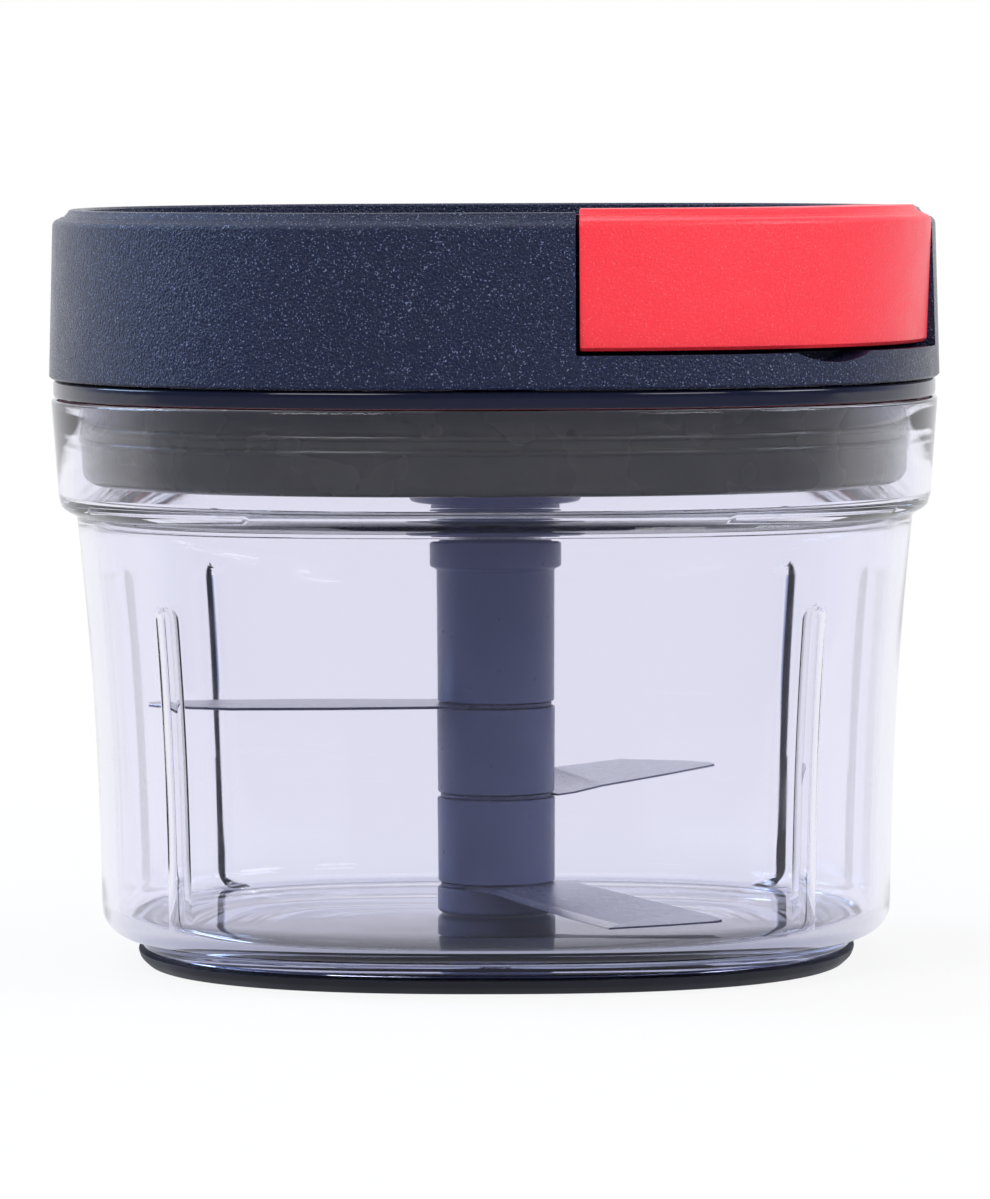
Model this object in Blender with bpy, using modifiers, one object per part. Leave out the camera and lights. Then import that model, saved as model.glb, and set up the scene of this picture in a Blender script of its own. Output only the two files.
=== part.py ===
"""Pull cord food chopper: a clear bowl on a rubber foot, three steel blades on a plastic column,
and a lid that holds a spring-loaded cord reel, with the pull handle in its front right corner.

Metres, +Z up. The origin is the centre of the base, on the surface that the chopper stands on.
Seen from above, bowl and lid are rounded squares: superellipses of one power about the Z axis.
The cord leaves the lid along the diagonal at -45 degrees, and the handle slides out along it.
"""

import math

import bmesh
import bpy
from mathutils import Matrix, Vector

# Plan shape and fineness
LID_HALF = 0.0650
PLAN_POWER = 2.45
ROUND_POWER = 2.0
PLAN_STEPS = 40
HANDLE_STEPS = 10
ROUND_STEPS = 24
SMALL_STEPS = 12
ARC_STEPS = 3
ROUND_END_STEPS = 2
SMOOTH_ANGLE = math.radians(35)

# Clearances
SEAT_GAP = 0.0003
SEAM_GAP = 0.00015
RUNNING_GAP = 0.0004
CUT_OVERRUN = 0.0020
MERGE_DISTANCE = 0.00001

# Anti-slip foot
FOOT_THICK = 0.0021
FOOT_INSET = 0.0124
FOOT_EDGE = 0.0015
FOOT_RING_WIDTH = 0.0106
FOOT_WEB_THICK = 0.0011
TONGUE_WIDTH = 0.0060
TONGUE_HEIGHT = 0.0015

# Bowl
BOWL_HEIGHT = 0.0802
BOWL_WALL = 0.0022
BOWL_FLOOR_THICK = 0.0023
SKIRT_DROP = 0.0015
SKIRT_INSET = 0.0006
SKIRT_WALL = 0.0027
BODY_BOTTOM_INSET = 0.0072
BODY_TOP_INSET = 0.0039
BODY_BULGE = 0.0007
HEEL_RADIUS = 0.0040
FLOOR_FILLET = 0.0030
COLLAR_INSET = 0.0003
COLLAR_TAPER = 0.0010
COLLAR_HEIGHT = 0.0168
COLLAR_FOOT_RISE = 0.0026
COLLAR_FOOT_SHARES = ((0.7, 0.25), (1.0, 1.0))
RIM_ROUND = 0.0005
SHELF_DEPTH = 0.0144
SHELF_ROUND = 0.0010

# Flutes in the bowl's corners
FLUTE_TOP_BELOW_RIM = 0.0270
FLUTE_RIB_RADIUS = 0.0021
FLUTE_GROOVE_RADIUS = 0.0022
FLUTE_GROOVE_OUTSET = 0.0013
FLUTE_END_SHARES = (0.7, 0.3)
FLUTE_ANGLES = (43.5, 136.5, 223.5, 316.5)

# Bowl pin and the boss that holds it
PIN_RADIUS = 0.0020
PIN_RISE = 0.0095
PIN_DEPTH = 0.0009
PIN_POINT = 0.0010
BOSS_RADIUS = 0.0056
BOSS_RISE = 0.0012

# Blade column
COLUMN_RADIUS = 0.0087
COLUMN_LEAN = 0.0001
COLLAR_RING_RADIUS = 0.0097
COLLAR_RING_HEIGHT = 0.0070
COLLAR_RING_DROP = 0.0022
COLUMN_NECK_RADIUS = 0.0083
BASE_CHAMFER = 0.0006
CORE_ACROSS = 0.0090
CORE_GAP = 0.0003
SPINDLE_LIFT = 0.0008
BUSH_WALL = 0.0008
BUSH_HEIGHT = 0.0070
CLIP_WIDTH = 0.0013
CLIP_HEIGHT = 0.0010

# Blades
BLADE_THICK = 0.0005
BLADE_TIP_GAP = 0.0056
BLADE_GRIND = 0.0024
GRIND_MOST_SHARE = 0.5
HUB_OVER_COLUMN = 0.0001
LOWER_BLADE_RISE = 0.0043
MIDDLE_BLADE_RISE = 0.0175
UPPER_BLADE_RISE = 0.0309
LOWER_BLADE_ANGLE = -47.4
MIDDLE_BLADE_ANGLE = 48.6
UPPER_BLADE_ANGLE = 187.6

# Blade outlines: reach, edge, back, lift of the edge and lift of the back, each as a share of
# BLADE_REACH. The edge leads when the blades turn clockwise, seen from above.
LOWER_BLADE_SHARES = (
    (0.06, -0.184, 0.165, 0.0, 0.0),
    (0.19, -0.197, 0.155, 0.0, 0.0),
    (0.55, -0.227, 0.115, -0.045, -0.025),
    (0.753, -0.243, 0.085, -0.062, -0.038),
    (0.87, -0.098, 0.055, -0.052, -0.042),
    (0.948, -0.002, 0.012, -0.044, -0.043),
)
MIDDLE_BLADE_SHARES = (
    (0.10, -0.157, 0.157, 0.0, 0.0),
    (0.19, -0.141, 0.125, 0.0, 0.0),
    (0.344, -0.115, 0.076, 0.008, 0.048),
    (0.676, -0.057, 0.106, 0.013, 0.049),
    (0.94, -0.010, 0.055, 0.018, 0.029),
    (1.0, -0.002, 0.016, 0.020, 0.022),
)
UPPER_BLADE_SHARES = (
    (0.10, -0.165, 0.165, 0.0, 0.0),
    (0.19, -0.161, 0.161, 0.0, 0.0),
    (0.50, -0.140, 0.155, 0.006, 0.0),
    (0.80, -0.125, 0.135, 0.008, 0.001),
    (0.97, -0.080, 0.065, 0.010, 0.003),
    (1.03, -0.030, 0.010, 0.010, 0.005),
)

# Lid base, its seal and gasket
RIM_GAP = 0.0003
FLANGE_THICK = 0.0024
FLANGE_INSET = 0.0006
FLANGE_ROUND = 0.0005
GASKET_WIDTH = 0.0027
GASKET_THICK = 0.0012
GASKET_GAP = 0.00015
LIP_WALL = 0.0005
SEAL_GAP = 0.0004
SEAL_WALL = 0.0026
SEAL_LIP = 0.0008
SEAL_LIP_HEIGHT = 0.0028
SEAL_RIDGE = 0.0004
SEAL_RIDGE_PITCH = 0.0020
SEAL_RIDGES = 2
SEAL_CORNER = 0.0022
SEAL_TAPER = 0.0006
SEAL_TURN_IN = 0.0048
SEAL_TURN_THICK = 0.0008
PLUG_DEPTH = 0.0124
BASE_WALL = 0.0023
BASE_FLOOR_THICK = 0.0023

# Lid shell
SHELL_HEIGHT = 0.0244
SHELL_WALL = 0.0026
SHELL_TAPER = 0.0006
SHOULDER_DROP = 0.0024
SHOULDER_WIDTH = 0.0011
SHOULDER_SHARE = 0.7
LEDGE_WIDTH = 0.0006
RIM_RISE = 0.0011
RIM_SLOPE = 0.0006
RIM_EDGE = 0.0003
RIM_WIDTH = 0.0017
DECK_DROP = 0.0028
DECK_THICK = 0.0022

# Handle and its recess
HANDLE_START = 0.0128
HANDLE_END_MORE = 0.0048
HANDLE_DEPTH = 0.0116
HANDLE_WALL = 0.0020
HANDLE_PROUD = 0.0005
HANDLE_SIDE_GAP = 0.0005
HANDLE_BACK_GAP = 0.0005
HANDLE_UNDER_GAP = 0.0006
HANDLE_EDGE = 0.0005
BACK_PLATE_THICK = 0.0018
RECESS_FLOOR_RISE = 0.0046
RECESS_WALL = 0.0020
RECESS_RIM_DROP = 0.0004
SCALLOP_DEPTH = 0.0014
SCALLOP_WIDTH = 0.0150

# Cord and eyelet
CORD_RADIUS = 0.0009
CORD_TURNS = 3
CORD_PITCH = 0.00228
CORD_LOOP_POINTS = 24
CORD_LEAD_GAP = 0.0100
CORD_BEND_BACK = 0.0040
CORD_BEND_ON = 0.0016
CORD_BEND_POINTS = 5
KNOT_RADIUS = 0.0024
KNOT_RINGS = 8
KNOT_LOBE_SHARE = 0.05
EYELET_BORE_GAP = 0.0004
EYELET_WALL = 0.0009
EYELET_FLANGE = 0.0016
EYELET_FLANGE_THICK = 0.0009

# Reel
REEL_CORE_RADIUS = 0.0200
REEL_WALL = 0.0024
REEL_FLANGE = 0.0046
REEL_FLANGE_THICK = 0.0013
REEL_GROOVE_HEIGHT = 0.0092
REEL_COVER_STEP = 0.0010
REEL_HUB_RADIUS = 0.0080
REEL_HUB_DROP = 0.0036
REEL_UNDER_DECK = 0.0030
COVER_THICK = 0.0010
COVER_SEAT_DROP = 0.0021
AXLE_RADIUS = 0.0030
AXLE_BOSS_RADIUS = 0.0060
AXLE_BOSS_LENGTH = 0.0122
AXLE_END_GAP = 0.0010

# Recoil spring
SPRING_THICK = 0.0004
SPRING_HEIGHT = 0.0060
SPRING_TURNS = 7
SPRING_LOOP_POINTS = 16
SPRING_END_GAP = 0.0008

# Drive coupler
COUPLER_FLANGE_RADIUS = 0.0132
COUPLER_FLANGE_THICK = 0.0029
COUPLER_FLANGE_GAP = 0.0005
COUPLER_STEP_RADIUS = 0.0095
COUPLER_STEP = 0.0008
COUPLER_BARREL_RADIUS = 0.0085
COUPLER_SHAFT_RADIUS = 0.0062
SOCKET_DEPTH = 0.0095
TANG_ACROSS = 0.0080
TANG_HEIGHT = 0.0022
HUB_BUSH_WALL = 0.0017
HUB_BUSH_FLANGE = 0.0020
HUB_BUSH_FLANGE_THICK = 0.0010
HUB_BUSH_HEIGHT = 0.0054
HUB_BOSS_WALL = 0.0031
CIRCLIP_THICK = 0.0008
CIRCLIP_WIDTH = 0.0027
CIRCLIP_GROOVE_DEPTH = 0.0008

# Lid screws and their posts
SCREW_HEAD_RADIUS = 0.0030
SCREW_HEAD_HEIGHT = 0.0022
SCREW_EDGE_SHARE = 0.7
SCREW_SHANK_RADIUS = 0.0014
SCREW_SHANK_LENGTH = 0.0140
SCREW_SLOT_ACROSS = 0.0026
SCREW_SLOT_DEPTH = 0.0010
POST_RADIUS = 0.0034
BOSS_TUBE_WALL = 0.0010
BOSS_TUBE_TOP = 0.0018
BOSS_TUBE_HEIGHT = 0.0068
POST_TO_WALL = 0.0030
SCREW_ANGLES = (0.0, 90.0, 180.0, 270.0)

# Halves of the plan, from the outside in
COLLAR_HALF = LID_HALF - COLLAR_INSET
COLLAR_LOW_HALF = COLLAR_HALF - COLLAR_TAPER
BODY_TOP_HALF = LID_HALF - BODY_TOP_INSET
COLLAR_STEP = COLLAR_LOW_HALF - BODY_TOP_HALF
BODY_BOTTOM_HALF = LID_HALF - BODY_BOTTOM_INSET
COLLAR_INNER = COLLAR_HALF - BOWL_WALL
COLLAR_LOW_INNER = COLLAR_LOW_HALF - BOWL_WALL
BODY_TOP_INNER = BODY_TOP_HALF - BOWL_WALL
BODY_BOTTOM_INNER = BODY_BOTTOM_HALF - BOWL_WALL
FOOT_HALF = LID_HALF - FOOT_INSET
SKIRT_HALF = FOOT_HALF - SKIRT_INSET
SKIRT_INNER = SKIRT_HALF - SKIRT_WALL
FLANGE_HALF = LID_HALF - FLANGE_INSET
SEAL_HALF = COLLAR_INNER - SEAL_GAP - SEAL_LIP
PLUG_HALF = SEAL_HALF - SEAL_WALL
BASE_INNER = PLUG_HALF - BASE_WALL
SHELL_TOP_HALF = LID_HALF - SHELL_TAPER
HANDLE_BACK_HALF = LID_HALF - HANDLE_DEPTH
RECESS_HALF = HANDLE_BACK_HALF - HANDLE_BACK_GAP
RECESS_INNER_HALF = RECESS_HALF - RECESS_WALL
POST_DISTANCE = BASE_INNER - SCREW_HEAD_RADIUS - BOSS_TUBE_WALL - POST_TO_WALL
BLADE_REACH = BODY_BOTTOM_INNER - BLADE_TIP_GAP

# Levels, from the table up
SKIRT_Z = FOOT_THICK + SEAT_GAP
UNDER_Z = SKIRT_Z + SKIRT_DROP
FLOOR_Z = UNDER_Z + BOWL_FLOOR_THICK
RIM_Z = SKIRT_Z + BOWL_HEIGHT
COLLAR_Z = RIM_Z - COLLAR_HEIGHT
SHELF_Z = RIM_Z - SHELF_DEPTH
BOSS_Z = FLOOR_Z + BOSS_RISE
SPINDLE_Z = FLOOR_Z + RUNNING_GAP
BUSH_Z = BOSS_Z + RUNNING_GAP
FLANGE_Z = RIM_Z + RIM_GAP
FLANGE_TOP_Z = FLANGE_Z + FLANGE_THICK
SEAL_TOP_Z = FLANGE_Z - RIM_GAP - SEAM_GAP
SEAL_Z = FLANGE_Z - PLUG_DEPTH
BASE_UNDER_Z = SEAL_Z + SEAT_GAP
BASE_FLOOR_Z = BASE_UNDER_Z + BASE_FLOOR_THICK
COUPLER_FLANGE_Z = BASE_UNDER_Z - COUPLER_FLANGE_GAP - COUPLER_FLANGE_THICK
COUPLER_Z = COUPLER_FLANGE_Z - COUPLER_STEP
COLUMN_TOP_Z = COUPLER_Z - SEAT_GAP
SHELL_Z = FLANGE_TOP_Z + SEAT_GAP
SHELL_TOP_Z = SHELL_Z + SHELL_HEIGHT
DECK_Z = SHELL_TOP_Z - DECK_DROP
DECK_UNDER_Z = DECK_Z - DECK_THICK
RECESS_Z = SHELL_Z + RECESS_FLOOR_RISE
REEL_TOP_Z = DECK_UNDER_Z - REEL_UNDER_DECK
GROOVE_TOP_Z = REEL_TOP_Z - REEL_FLANGE_THICK
GROOVE_Z = GROOVE_TOP_Z - REEL_GROOVE_HEIGHT
REEL_Z = GROOVE_Z - REEL_FLANGE_THICK
REEL_HUB_Z = REEL_Z - REEL_HUB_DROP
COVER_Z = REEL_TOP_Z - COVER_SEAT_DROP + SEAT_GAP
CORD_Z = GROOVE_TOP_Z - SEAT_GAP - CORD_RADIUS
AXLE_BOSS_Z = DECK_UNDER_Z - AXLE_BOSS_LENGTH
SHOULDER_Z = REEL_HUB_Z - SEAT_GAP
BOSS_TUBE_Z = BASE_FLOOR_Z + BOSS_TUBE_HEIGHT

# The cord's winding circle and the diagonal that it is pulled along
WIND_RADIUS = REEL_CORE_RADIUS + SEAT_GAP + CORD_RADIUS
PULL = Vector((1.0, -1.0, 0.0)).normalized()
PULL_ANGLE = math.atan2(PULL.y, PULL.x)
CORNER_SHARE = 2.0 ** (0.5 - 1.0 / PLAN_POWER)

# Colours, in linear light
NAVY = (0.022, 0.024, 0.052)
GLOSS_NAVY = (0.012, 0.014, 0.030)
CORAL = (1.0, 0.062, 0.085)
CLEAR = (0.80, 0.80, 0.92)
SLATE = (0.065, 0.068, 0.122)
OLIVE_GREY = (0.064, 0.064, 0.055)
DARK_RED = (0.12, 0.004, 0.010)
FOOT_DARK = (0.012, 0.014, 0.026)
STEEL = (0.60, 0.60, 0.64)
BRASS = (0.60, 0.44, 0.20)
WHITE_NYLON = (0.75, 0.75, 0.72)
CORD_WHITE = (0.70, 0.70, 0.68)


def clear_scene():
    for thing in list(bpy.data.objects):
        bpy.data.objects.remove(thing, do_unlink=True)


def new_collection(name):
    made = bpy.data.collections.new(name)
    bpy.context.scene.collection.children.link(made)
    return made


def principled(name, colour, roughness, metallic=0.0, clear=0.0):
    made = bpy.data.materials.new(name)
    made.use_nodes = True
    shader = made.node_tree.nodes["Principled BSDF"]
    shader.inputs["Base Color"].default_value = (*colour, 1.0)
    shader.inputs["Roughness"].default_value = roughness
    shader.inputs["Metallic"].default_value = metallic
    shader.inputs["Transmission Weight"].default_value = clear
    return made


def add(name, mesh, look=None):
    made = bpy.data.objects.new(name, mesh)
    (PARTS if look else CUTTERS).objects.link(made)
    if look:
        mesh.materials.append(look)
    else:
        made.hide_render = True
        made.display_type = "WIRE"
    return made


def finish_mesh(name, bm, look):
    """The object of a closed bmesh, its faces turned outward and its round sides shaded smooth."""
    bmesh.ops.recalc_face_normals(bm, faces=bm.faces)
    mesh = bpy.data.meshes.new(name)
    bm.to_mesh(mesh)
    bm.free()
    mesh.shade_smooth()
    mesh.set_sharp_from_angle(angle=SMOOTH_ANGLE)
    return add(name, mesh, look)


def combine(target, other, operation):
    step = target.modifiers.new(f"{operation.lower()}_{other.name}", "BOOLEAN")
    step.operation = operation
    step.object = other
    step.solver = "EXACT"
    return target


def arc(centre, radius, start, end, steps=ARC_STEPS):
    """Points of an arc in the profile plane, from start to end degrees, both ends included."""
    points = []
    for step in range(steps + 1):
        turn = math.radians(start + (end - start) * step / steps)
        points.append((centre[0] + radius * math.cos(turn), centre[1] + radius * math.sin(turn)))
    return points


def plan_radius(half, angle, power=PLAN_POWER):
    """Distance from the axis to the rounded square of this half width, in this direction."""
    across = abs(math.cos(angle)) ** power
    along = abs(math.sin(angle)) ** power
    return half / (across + along) ** (1.0 / power)


def plan_ring(bm, half, level, power):
    """One ring of the rounded square, or the single point that it shrinks to on the axis."""
    if half == 0.0:
        return [bm.verts.new((0.0, 0.0, level))] * PLAN_STEPS
    ring = []
    for step in range(PLAN_STEPS):
        angle = 2 * math.pi * step / PLAN_STEPS
        reach = plan_radius(half, angle, power)
        ring.append(bm.verts.new((reach * math.cos(angle), reach * math.sin(angle), level)))
    return ring


def plan_sweep(name, profile, look=None, round_inside=0.0):
    """Carries a profile of (half, level) points round the plan. It closes on itself, or at the
    axis if it starts and ends there. Points inside round_inside follow a circle."""
    bm = bmesh.new()
    rings = []
    for half, level in profile:
        power = ROUND_POWER if half <= round_inside else PLAN_POWER
        rings.append(plan_ring(bm, half, level, power))
    pairs = list(zip(rings, rings[1:]))
    if profile[0][0] > 0.0:
        pairs.append((rings[-1], rings[0]))
    for lower, upper in pairs:
        for step in range(PLAN_STEPS):
            after = (step + 1) % PLAN_STEPS
            corners = [lower[step], lower[after], upper[after], upper[step]]
            bm.faces.new(list(dict.fromkeys(corners)))
    return finish_mesh(name, bm, look)


def side_at(half, across):
    """Distance from the middle to the rounded square's side, this far across from the middle."""
    return half * (1.0 - (across / half) ** PLAN_POWER) ** (1.0 / PLAN_POWER)


def corner_arc(half, start):
    """Points of the front right corner of the rounded square, from x = start round to the right
    side, where they end HANDLE_END_MORE further from the middle."""
    end = start + HANDLE_END_MORE
    first = math.atan2(-side_at(half, start), start)
    last = math.atan2(-end, side_at(half, end))
    points = []
    for step in range(HANDLE_STEPS + 1):
        angle = first + (last - first) * step / HANDLE_STEPS
        reach = plan_radius(half, angle)
        points.append((reach * math.cos(angle), reach * math.sin(angle)))
    return points


def corner_loft(name, profile, start, look=None):
    """Carries a closed profile of (half, level) points round the front right corner, from the
    plane x = start to the one that ends the corner on the right, and closes both ends."""
    bm = bmesh.new()
    rows = []
    for half, level in profile:
        rows.append([bm.verts.new((x, y, level)) for x, y in corner_arc(half, start)])
    for row, above in zip(rows, rows[1:] + rows[:1]):
        for step in range(HANDLE_STEPS):
            bm.faces.new((row[step], row[step + 1], above[step + 1], above[step]))
    bm.faces.new([row[0] for row in rows])
    bm.faces.new([row[-1] for row in rows])
    return finish_mesh(name, bm, look)


def turned(name, outline, look=None, steps=ROUND_STEPS):
    """A profile of (radius, level) points turned about Z with a Screw. The outline closes on
    itself, or at the axis if it starts and ends there, and runs down its outer side."""
    area = 0.0
    for (r0, z0), (r1, z1) in zip(outline, outline[1:] + outline[:1]):
        area += r0 * z1 - r1 * z0
    if area > 0.0:
        outline = outline[::-1]
    on_axis = outline[0][0] == 0.0
    edges = [(step, step + 1) for step in range(len(outline) - 1)]
    if not on_axis:
        edges.append((len(outline) - 1, 0))
    mesh = bpy.data.meshes.new(name)
    mesh.from_pydata([(radius, 0.0, level) for radius, level in outline], edges, [])
    made = add(name, mesh, look)
    screw = made.modifiers.new("turn", "SCREW")
    screw.axis = "Z"
    screw.angle = 2 * math.pi
    screw.steps = steps
    screw.render_steps = steps
    screw.use_merge_vertices = True
    screw.merge_threshold = MERGE_DISTANCE
    screw.use_smooth_shade = True
    return made


def prism(name, sides, radius, low, high, look=None, place=(0.0, 0.0)):
    """An upright prism or, with many sides, a cylinder, between two levels."""
    bm = bmesh.new()
    bmesh.ops.create_cone(
        bm, cap_ends=True, segments=sides, radius1=radius, radius2=radius, depth=high - low
    )
    bmesh.ops.translate(bm, verts=bm.verts, vec=(*place, (low + high) / 2))
    return finish_mesh(name, bm, look)


def hexagon(name, across, low, high, look=None):
    """An upright hexagonal prism with this distance across its flats."""
    return prism(name, 6, across / math.sqrt(3.0), low, high, look)


def tube(name, points, radius, look, fineness=1):
    """A cord along these points, as a curve with a round bevel and filled caps."""
    curve = bpy.data.curves.new(name, "CURVE")
    curve.dimensions = "3D"
    curve.bevel_depth = radius
    curve.bevel_resolution = fineness
    curve.use_fill_caps = True
    spline = curve.splines.new("POLY")
    spline.points.add(len(points) - 1)
    for point, place in zip(spline.points, points):
        point.co = (*place, 1.0)
    curve.materials.append(look)
    made = bpy.data.objects.new(name, curve)
    PARTS.objects.link(made)
    return made


def least_gap(label, points, radius, apart):
    """Prints the least gap that a wound tube keeps to itself, on points at least apart steps on."""
    least = min(
        (points[one] - points[other]).length
        for one in range(len(points))
        for other in range(one + apart, len(points))
    )
    print(f"{label}: least gap to itself {(least - 2 * radius) * 1000:.2f} mm")


def make_foot(look):
    """A pad that stands on its ring, with a tongue that grips the inside of the bowl's skirt."""
    ring_inner = FOOT_HALF - FOOT_RING_WIDTH
    tongue_outer = SKIRT_INNER - SEAT_GAP
    tongue_inner = tongue_outer - TONGUE_WIDTH
    tongue_top = FOOT_THICK + TONGUE_HEIGHT
    web_low = FOOT_THICK - FOOT_WEB_THICK
    profile = [
        (0.0, web_low),
        (ring_inner, web_low),
        (ring_inner, 0.0),
        (FOOT_HALF - FOOT_EDGE, 0.0),
        (FOOT_HALF - FOOT_EDGE / 4, FOOT_THICK / 2),
        (FOOT_HALF, FOOT_THICK),
        (tongue_outer, FOOT_THICK),
        (tongue_outer, tongue_top),
        (tongue_inner, tongue_top),
        (tongue_inner, FOOT_THICK),
        (0.0, FOOT_THICK),
    ]
    return plan_sweep("anti_slip_foot", profile, look)


def wall_half(level, top_half, bottom_half):
    """Half width of the bowl's body at a level: a taper with a slight hollow in it."""
    low = FLOOR_Z + FLOOR_FILLET
    share = (level - low) / (COLLAR_Z - low)
    return bottom_half + (top_half - bottom_half) * share - BODY_BULGE * math.sin(math.pi * share)


def make_bowl(look):
    heel = (BODY_BOTTOM_HALF - HEEL_RADIUS, UNDER_Z + HEEL_RADIUS + BOWL_FLOOR_THICK / 4)
    inside = (BODY_BOTTOM_INNER - FLOOR_FILLET, FLOOR_Z + FLOOR_FILLET)
    thirds = [FLOOR_Z + (COLLAR_Z - FLOOR_Z) * share / 4 for share in (1, 2, 3)]
    pin_hole = PIN_RADIUS + SEAM_GAP
    profile = [
        (0.0, UNDER_Z),
        (SKIRT_INNER, UNDER_Z),
        (SKIRT_INNER, SKIRT_Z),
        (SKIRT_HALF, SKIRT_Z),
        (FOOT_HALF, UNDER_Z + BOWL_FLOOR_THICK / 4),
        *arc(heel, HEEL_RADIUS, -75, 0),
        *[(wall_half(z, BODY_TOP_HALF, BODY_BOTTOM_HALF), z) for z in thirds],
        (BODY_TOP_HALF, COLLAR_Z),
        *[
            (BODY_TOP_HALF + COLLAR_STEP * out, COLLAR_Z + COLLAR_FOOT_RISE * up)
            for out, up in COLLAR_FOOT_SHARES
        ],
        (COLLAR_HALF, RIM_Z - RIM_ROUND),
        (COLLAR_HALF - RIM_ROUND, RIM_Z),
        (COLLAR_INNER + RIM_ROUND / 2, RIM_Z),
        (COLLAR_INNER, RIM_Z - RIM_ROUND),
        (COLLAR_LOW_INNER, SHELF_Z + SHELF_ROUND),
        (COLLAR_LOW_INNER - SHELF_ROUND, SHELF_Z),
        (BODY_TOP_INNER + SHELF_ROUND / 2, SHELF_Z),
        (BODY_TOP_INNER, SHELF_Z - SHELF_ROUND / 2),
        *[(wall_half(z, BODY_TOP_INNER, BODY_BOTTOM_INNER), z) for z in reversed(thirds)],
        *reversed(arc(inside, FLOOR_FILLET, -90, 0)),
        (BOSS_RADIUS, FLOOR_Z),
        (BOSS_RADIUS - BOSS_RISE / 4, BOSS_Z),
        (pin_hole, BOSS_Z),
        (pin_hole, FLOOR_Z - PIN_DEPTH - SEAT_GAP),
        (0.0, FLOOR_Z - PIN_DEPTH - SEAT_GAP),
    ]
    bowl = plan_sweep("bowl", profile, look, round_inside=2 * BOSS_RADIUS)
    for number, angle in enumerate(FLUTE_ANGLES):
        combine(bowl, flute(f"flute_rib_{number}", angle, FLUTE_RIB_RADIUS, 0.0), "UNION")
    for number, angle in enumerate(FLUTE_ANGLES):
        outset = BOWL_WALL + FLUTE_GROOVE_OUTSET
        groove = flute(f"flute_groove_{number}", angle, FLUTE_GROOVE_RADIUS, outset)
        combine(bowl, groove, "DIFFERENCE")
    return bowl


def flute(name, angle, radius, outset):
    """A round-topped rod that leans with the bowl's inner wall in one corner. At an outset it
    lies that much further out."""
    turn = math.radians(angle)
    low = FLOOR_Z - BOWL_FLOOR_THICK / 4
    if outset:
        low = FLOOR_Z + FLOOR_FILLET
    high = RIM_Z - FLUTE_TOP_BELOW_RIM
    foot = plan_radius(wall_half(FLOOR_Z + FLOOR_FILLET, BODY_TOP_INNER, BODY_BOTTOM_INNER), turn)
    head = plan_radius(wall_half(high, BODY_TOP_INNER, BODY_BOTTOM_INNER), turn)
    outline = [
        (0.0, high),
        *arc((0.0, high - radius), radius, 60, 0, ROUND_END_STEPS),
        (radius, low + radius if outset else low),
        *([(radius * FLUTE_END_SHARES[0], low + radius * FLUTE_END_SHARES[1])] if outset else []),
        (0.0, low),
    ]
    rod = turned(name, outline, steps=SMALL_STEPS)
    lean = (head - foot) / (high - FLOOR_Z - FLOOR_FILLET)
    middle = foot + outset
    slide = Matrix.Identity(4)
    slide[0][2] = lean
    slide[0][3] = middle - lean * (FLOOR_Z + FLOOR_FILLET)
    rod.matrix_world = Matrix.Rotation(turn, 4, "Z") @ slide
    return rod


def make_bowl_pin(look):
    low = FLOOR_Z - PIN_DEPTH
    high = BOSS_Z + PIN_RISE
    outline = [
        (0.0, high),
        (PIN_RADIUS - PIN_POINT, high),
        (PIN_RADIUS, high - PIN_POINT),
        (PIN_RADIUS, low),
        (0.0, low),
    ]
    return turned("bowl_pin", outline, look, SMALL_STEPS)


def make_spindle(look):
    """The blade column's base and its hexagonal core in one, bored for the boss, bush and pin."""
    base_top = FLOOR_Z + LOWER_BLADE_RISE - SEAM_GAP
    bush_hole = PIN_RADIUS + RUNNING_GAP + BUSH_WALL + SEAM_GAP
    pin_hole = PIN_RADIUS + RUNNING_GAP
    boss_hole = BOSS_RADIUS + RUNNING_GAP
    bush_top = BUSH_Z + BUSH_HEIGHT + SEAT_GAP
    bore_top = BOSS_Z + PIN_RISE + SPINDLE_LIFT
    outline = [
        (0.0, base_top),
        (COLUMN_RADIUS, base_top),
        (COLUMN_RADIUS, SPINDLE_Z + BASE_CHAMFER),
        (COLUMN_RADIUS - BASE_CHAMFER, SPINDLE_Z),
        (0.0, SPINDLE_Z),
    ]
    base = turned("spindle", outline, look)
    core_top = COUPLER_Z + SOCKET_DEPTH - AXLE_END_GAP
    core = hexagon("core_body", CORE_ACROSS, base_top - BASE_CHAMFER, core_top)
    combine(base, core, "UNION")
    bores = turned(
        "core_bores",
        [
            (0.0, bore_top),
            (pin_hole, bore_top),
            (pin_hole, bush_top),
            (bush_hole, bush_top),
            (bush_hole, BUSH_Z),
            (boss_hole, BUSH_Z),
            (boss_hole, SPINDLE_Z - CUT_OVERRUN),
            (0.0, SPINDLE_Z - CUT_OVERRUN),
        ],
    )
    return combine(base, bores, "DIFFERENCE")


def make_spindle_bush(look):
    inner = PIN_RADIUS + RUNNING_GAP
    outer = inner + BUSH_WALL
    high = BUSH_Z + BUSH_HEIGHT
    outline = [(inner, high), (outer, high), (outer, BUSH_Z), (inner, BUSH_Z)]
    return turned("spindle_bush", outline, look)


def make_sleeve(name, low, high, look, top_points=()):
    """One length of the column, slipped over the core. Its outer side may end in other points."""
    inner = CORE_ACROSS / 4
    outline = [
        (inner, high),
        *(top_points or [(COLUMN_RADIUS, high)]),
        (COLUMN_RADIUS - COLUMN_LEAN, low),
        (inner, low),
    ]
    sleeve = turned(name, outline, look)
    hole = hexagon(
        f"{name}_hole", CORE_ACROSS + 2 * CORE_GAP, low - CUT_OVERRUN, high + CUT_OVERRUN
    )
    return combine(sleeve, hole, "DIFFERENCE")


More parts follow.
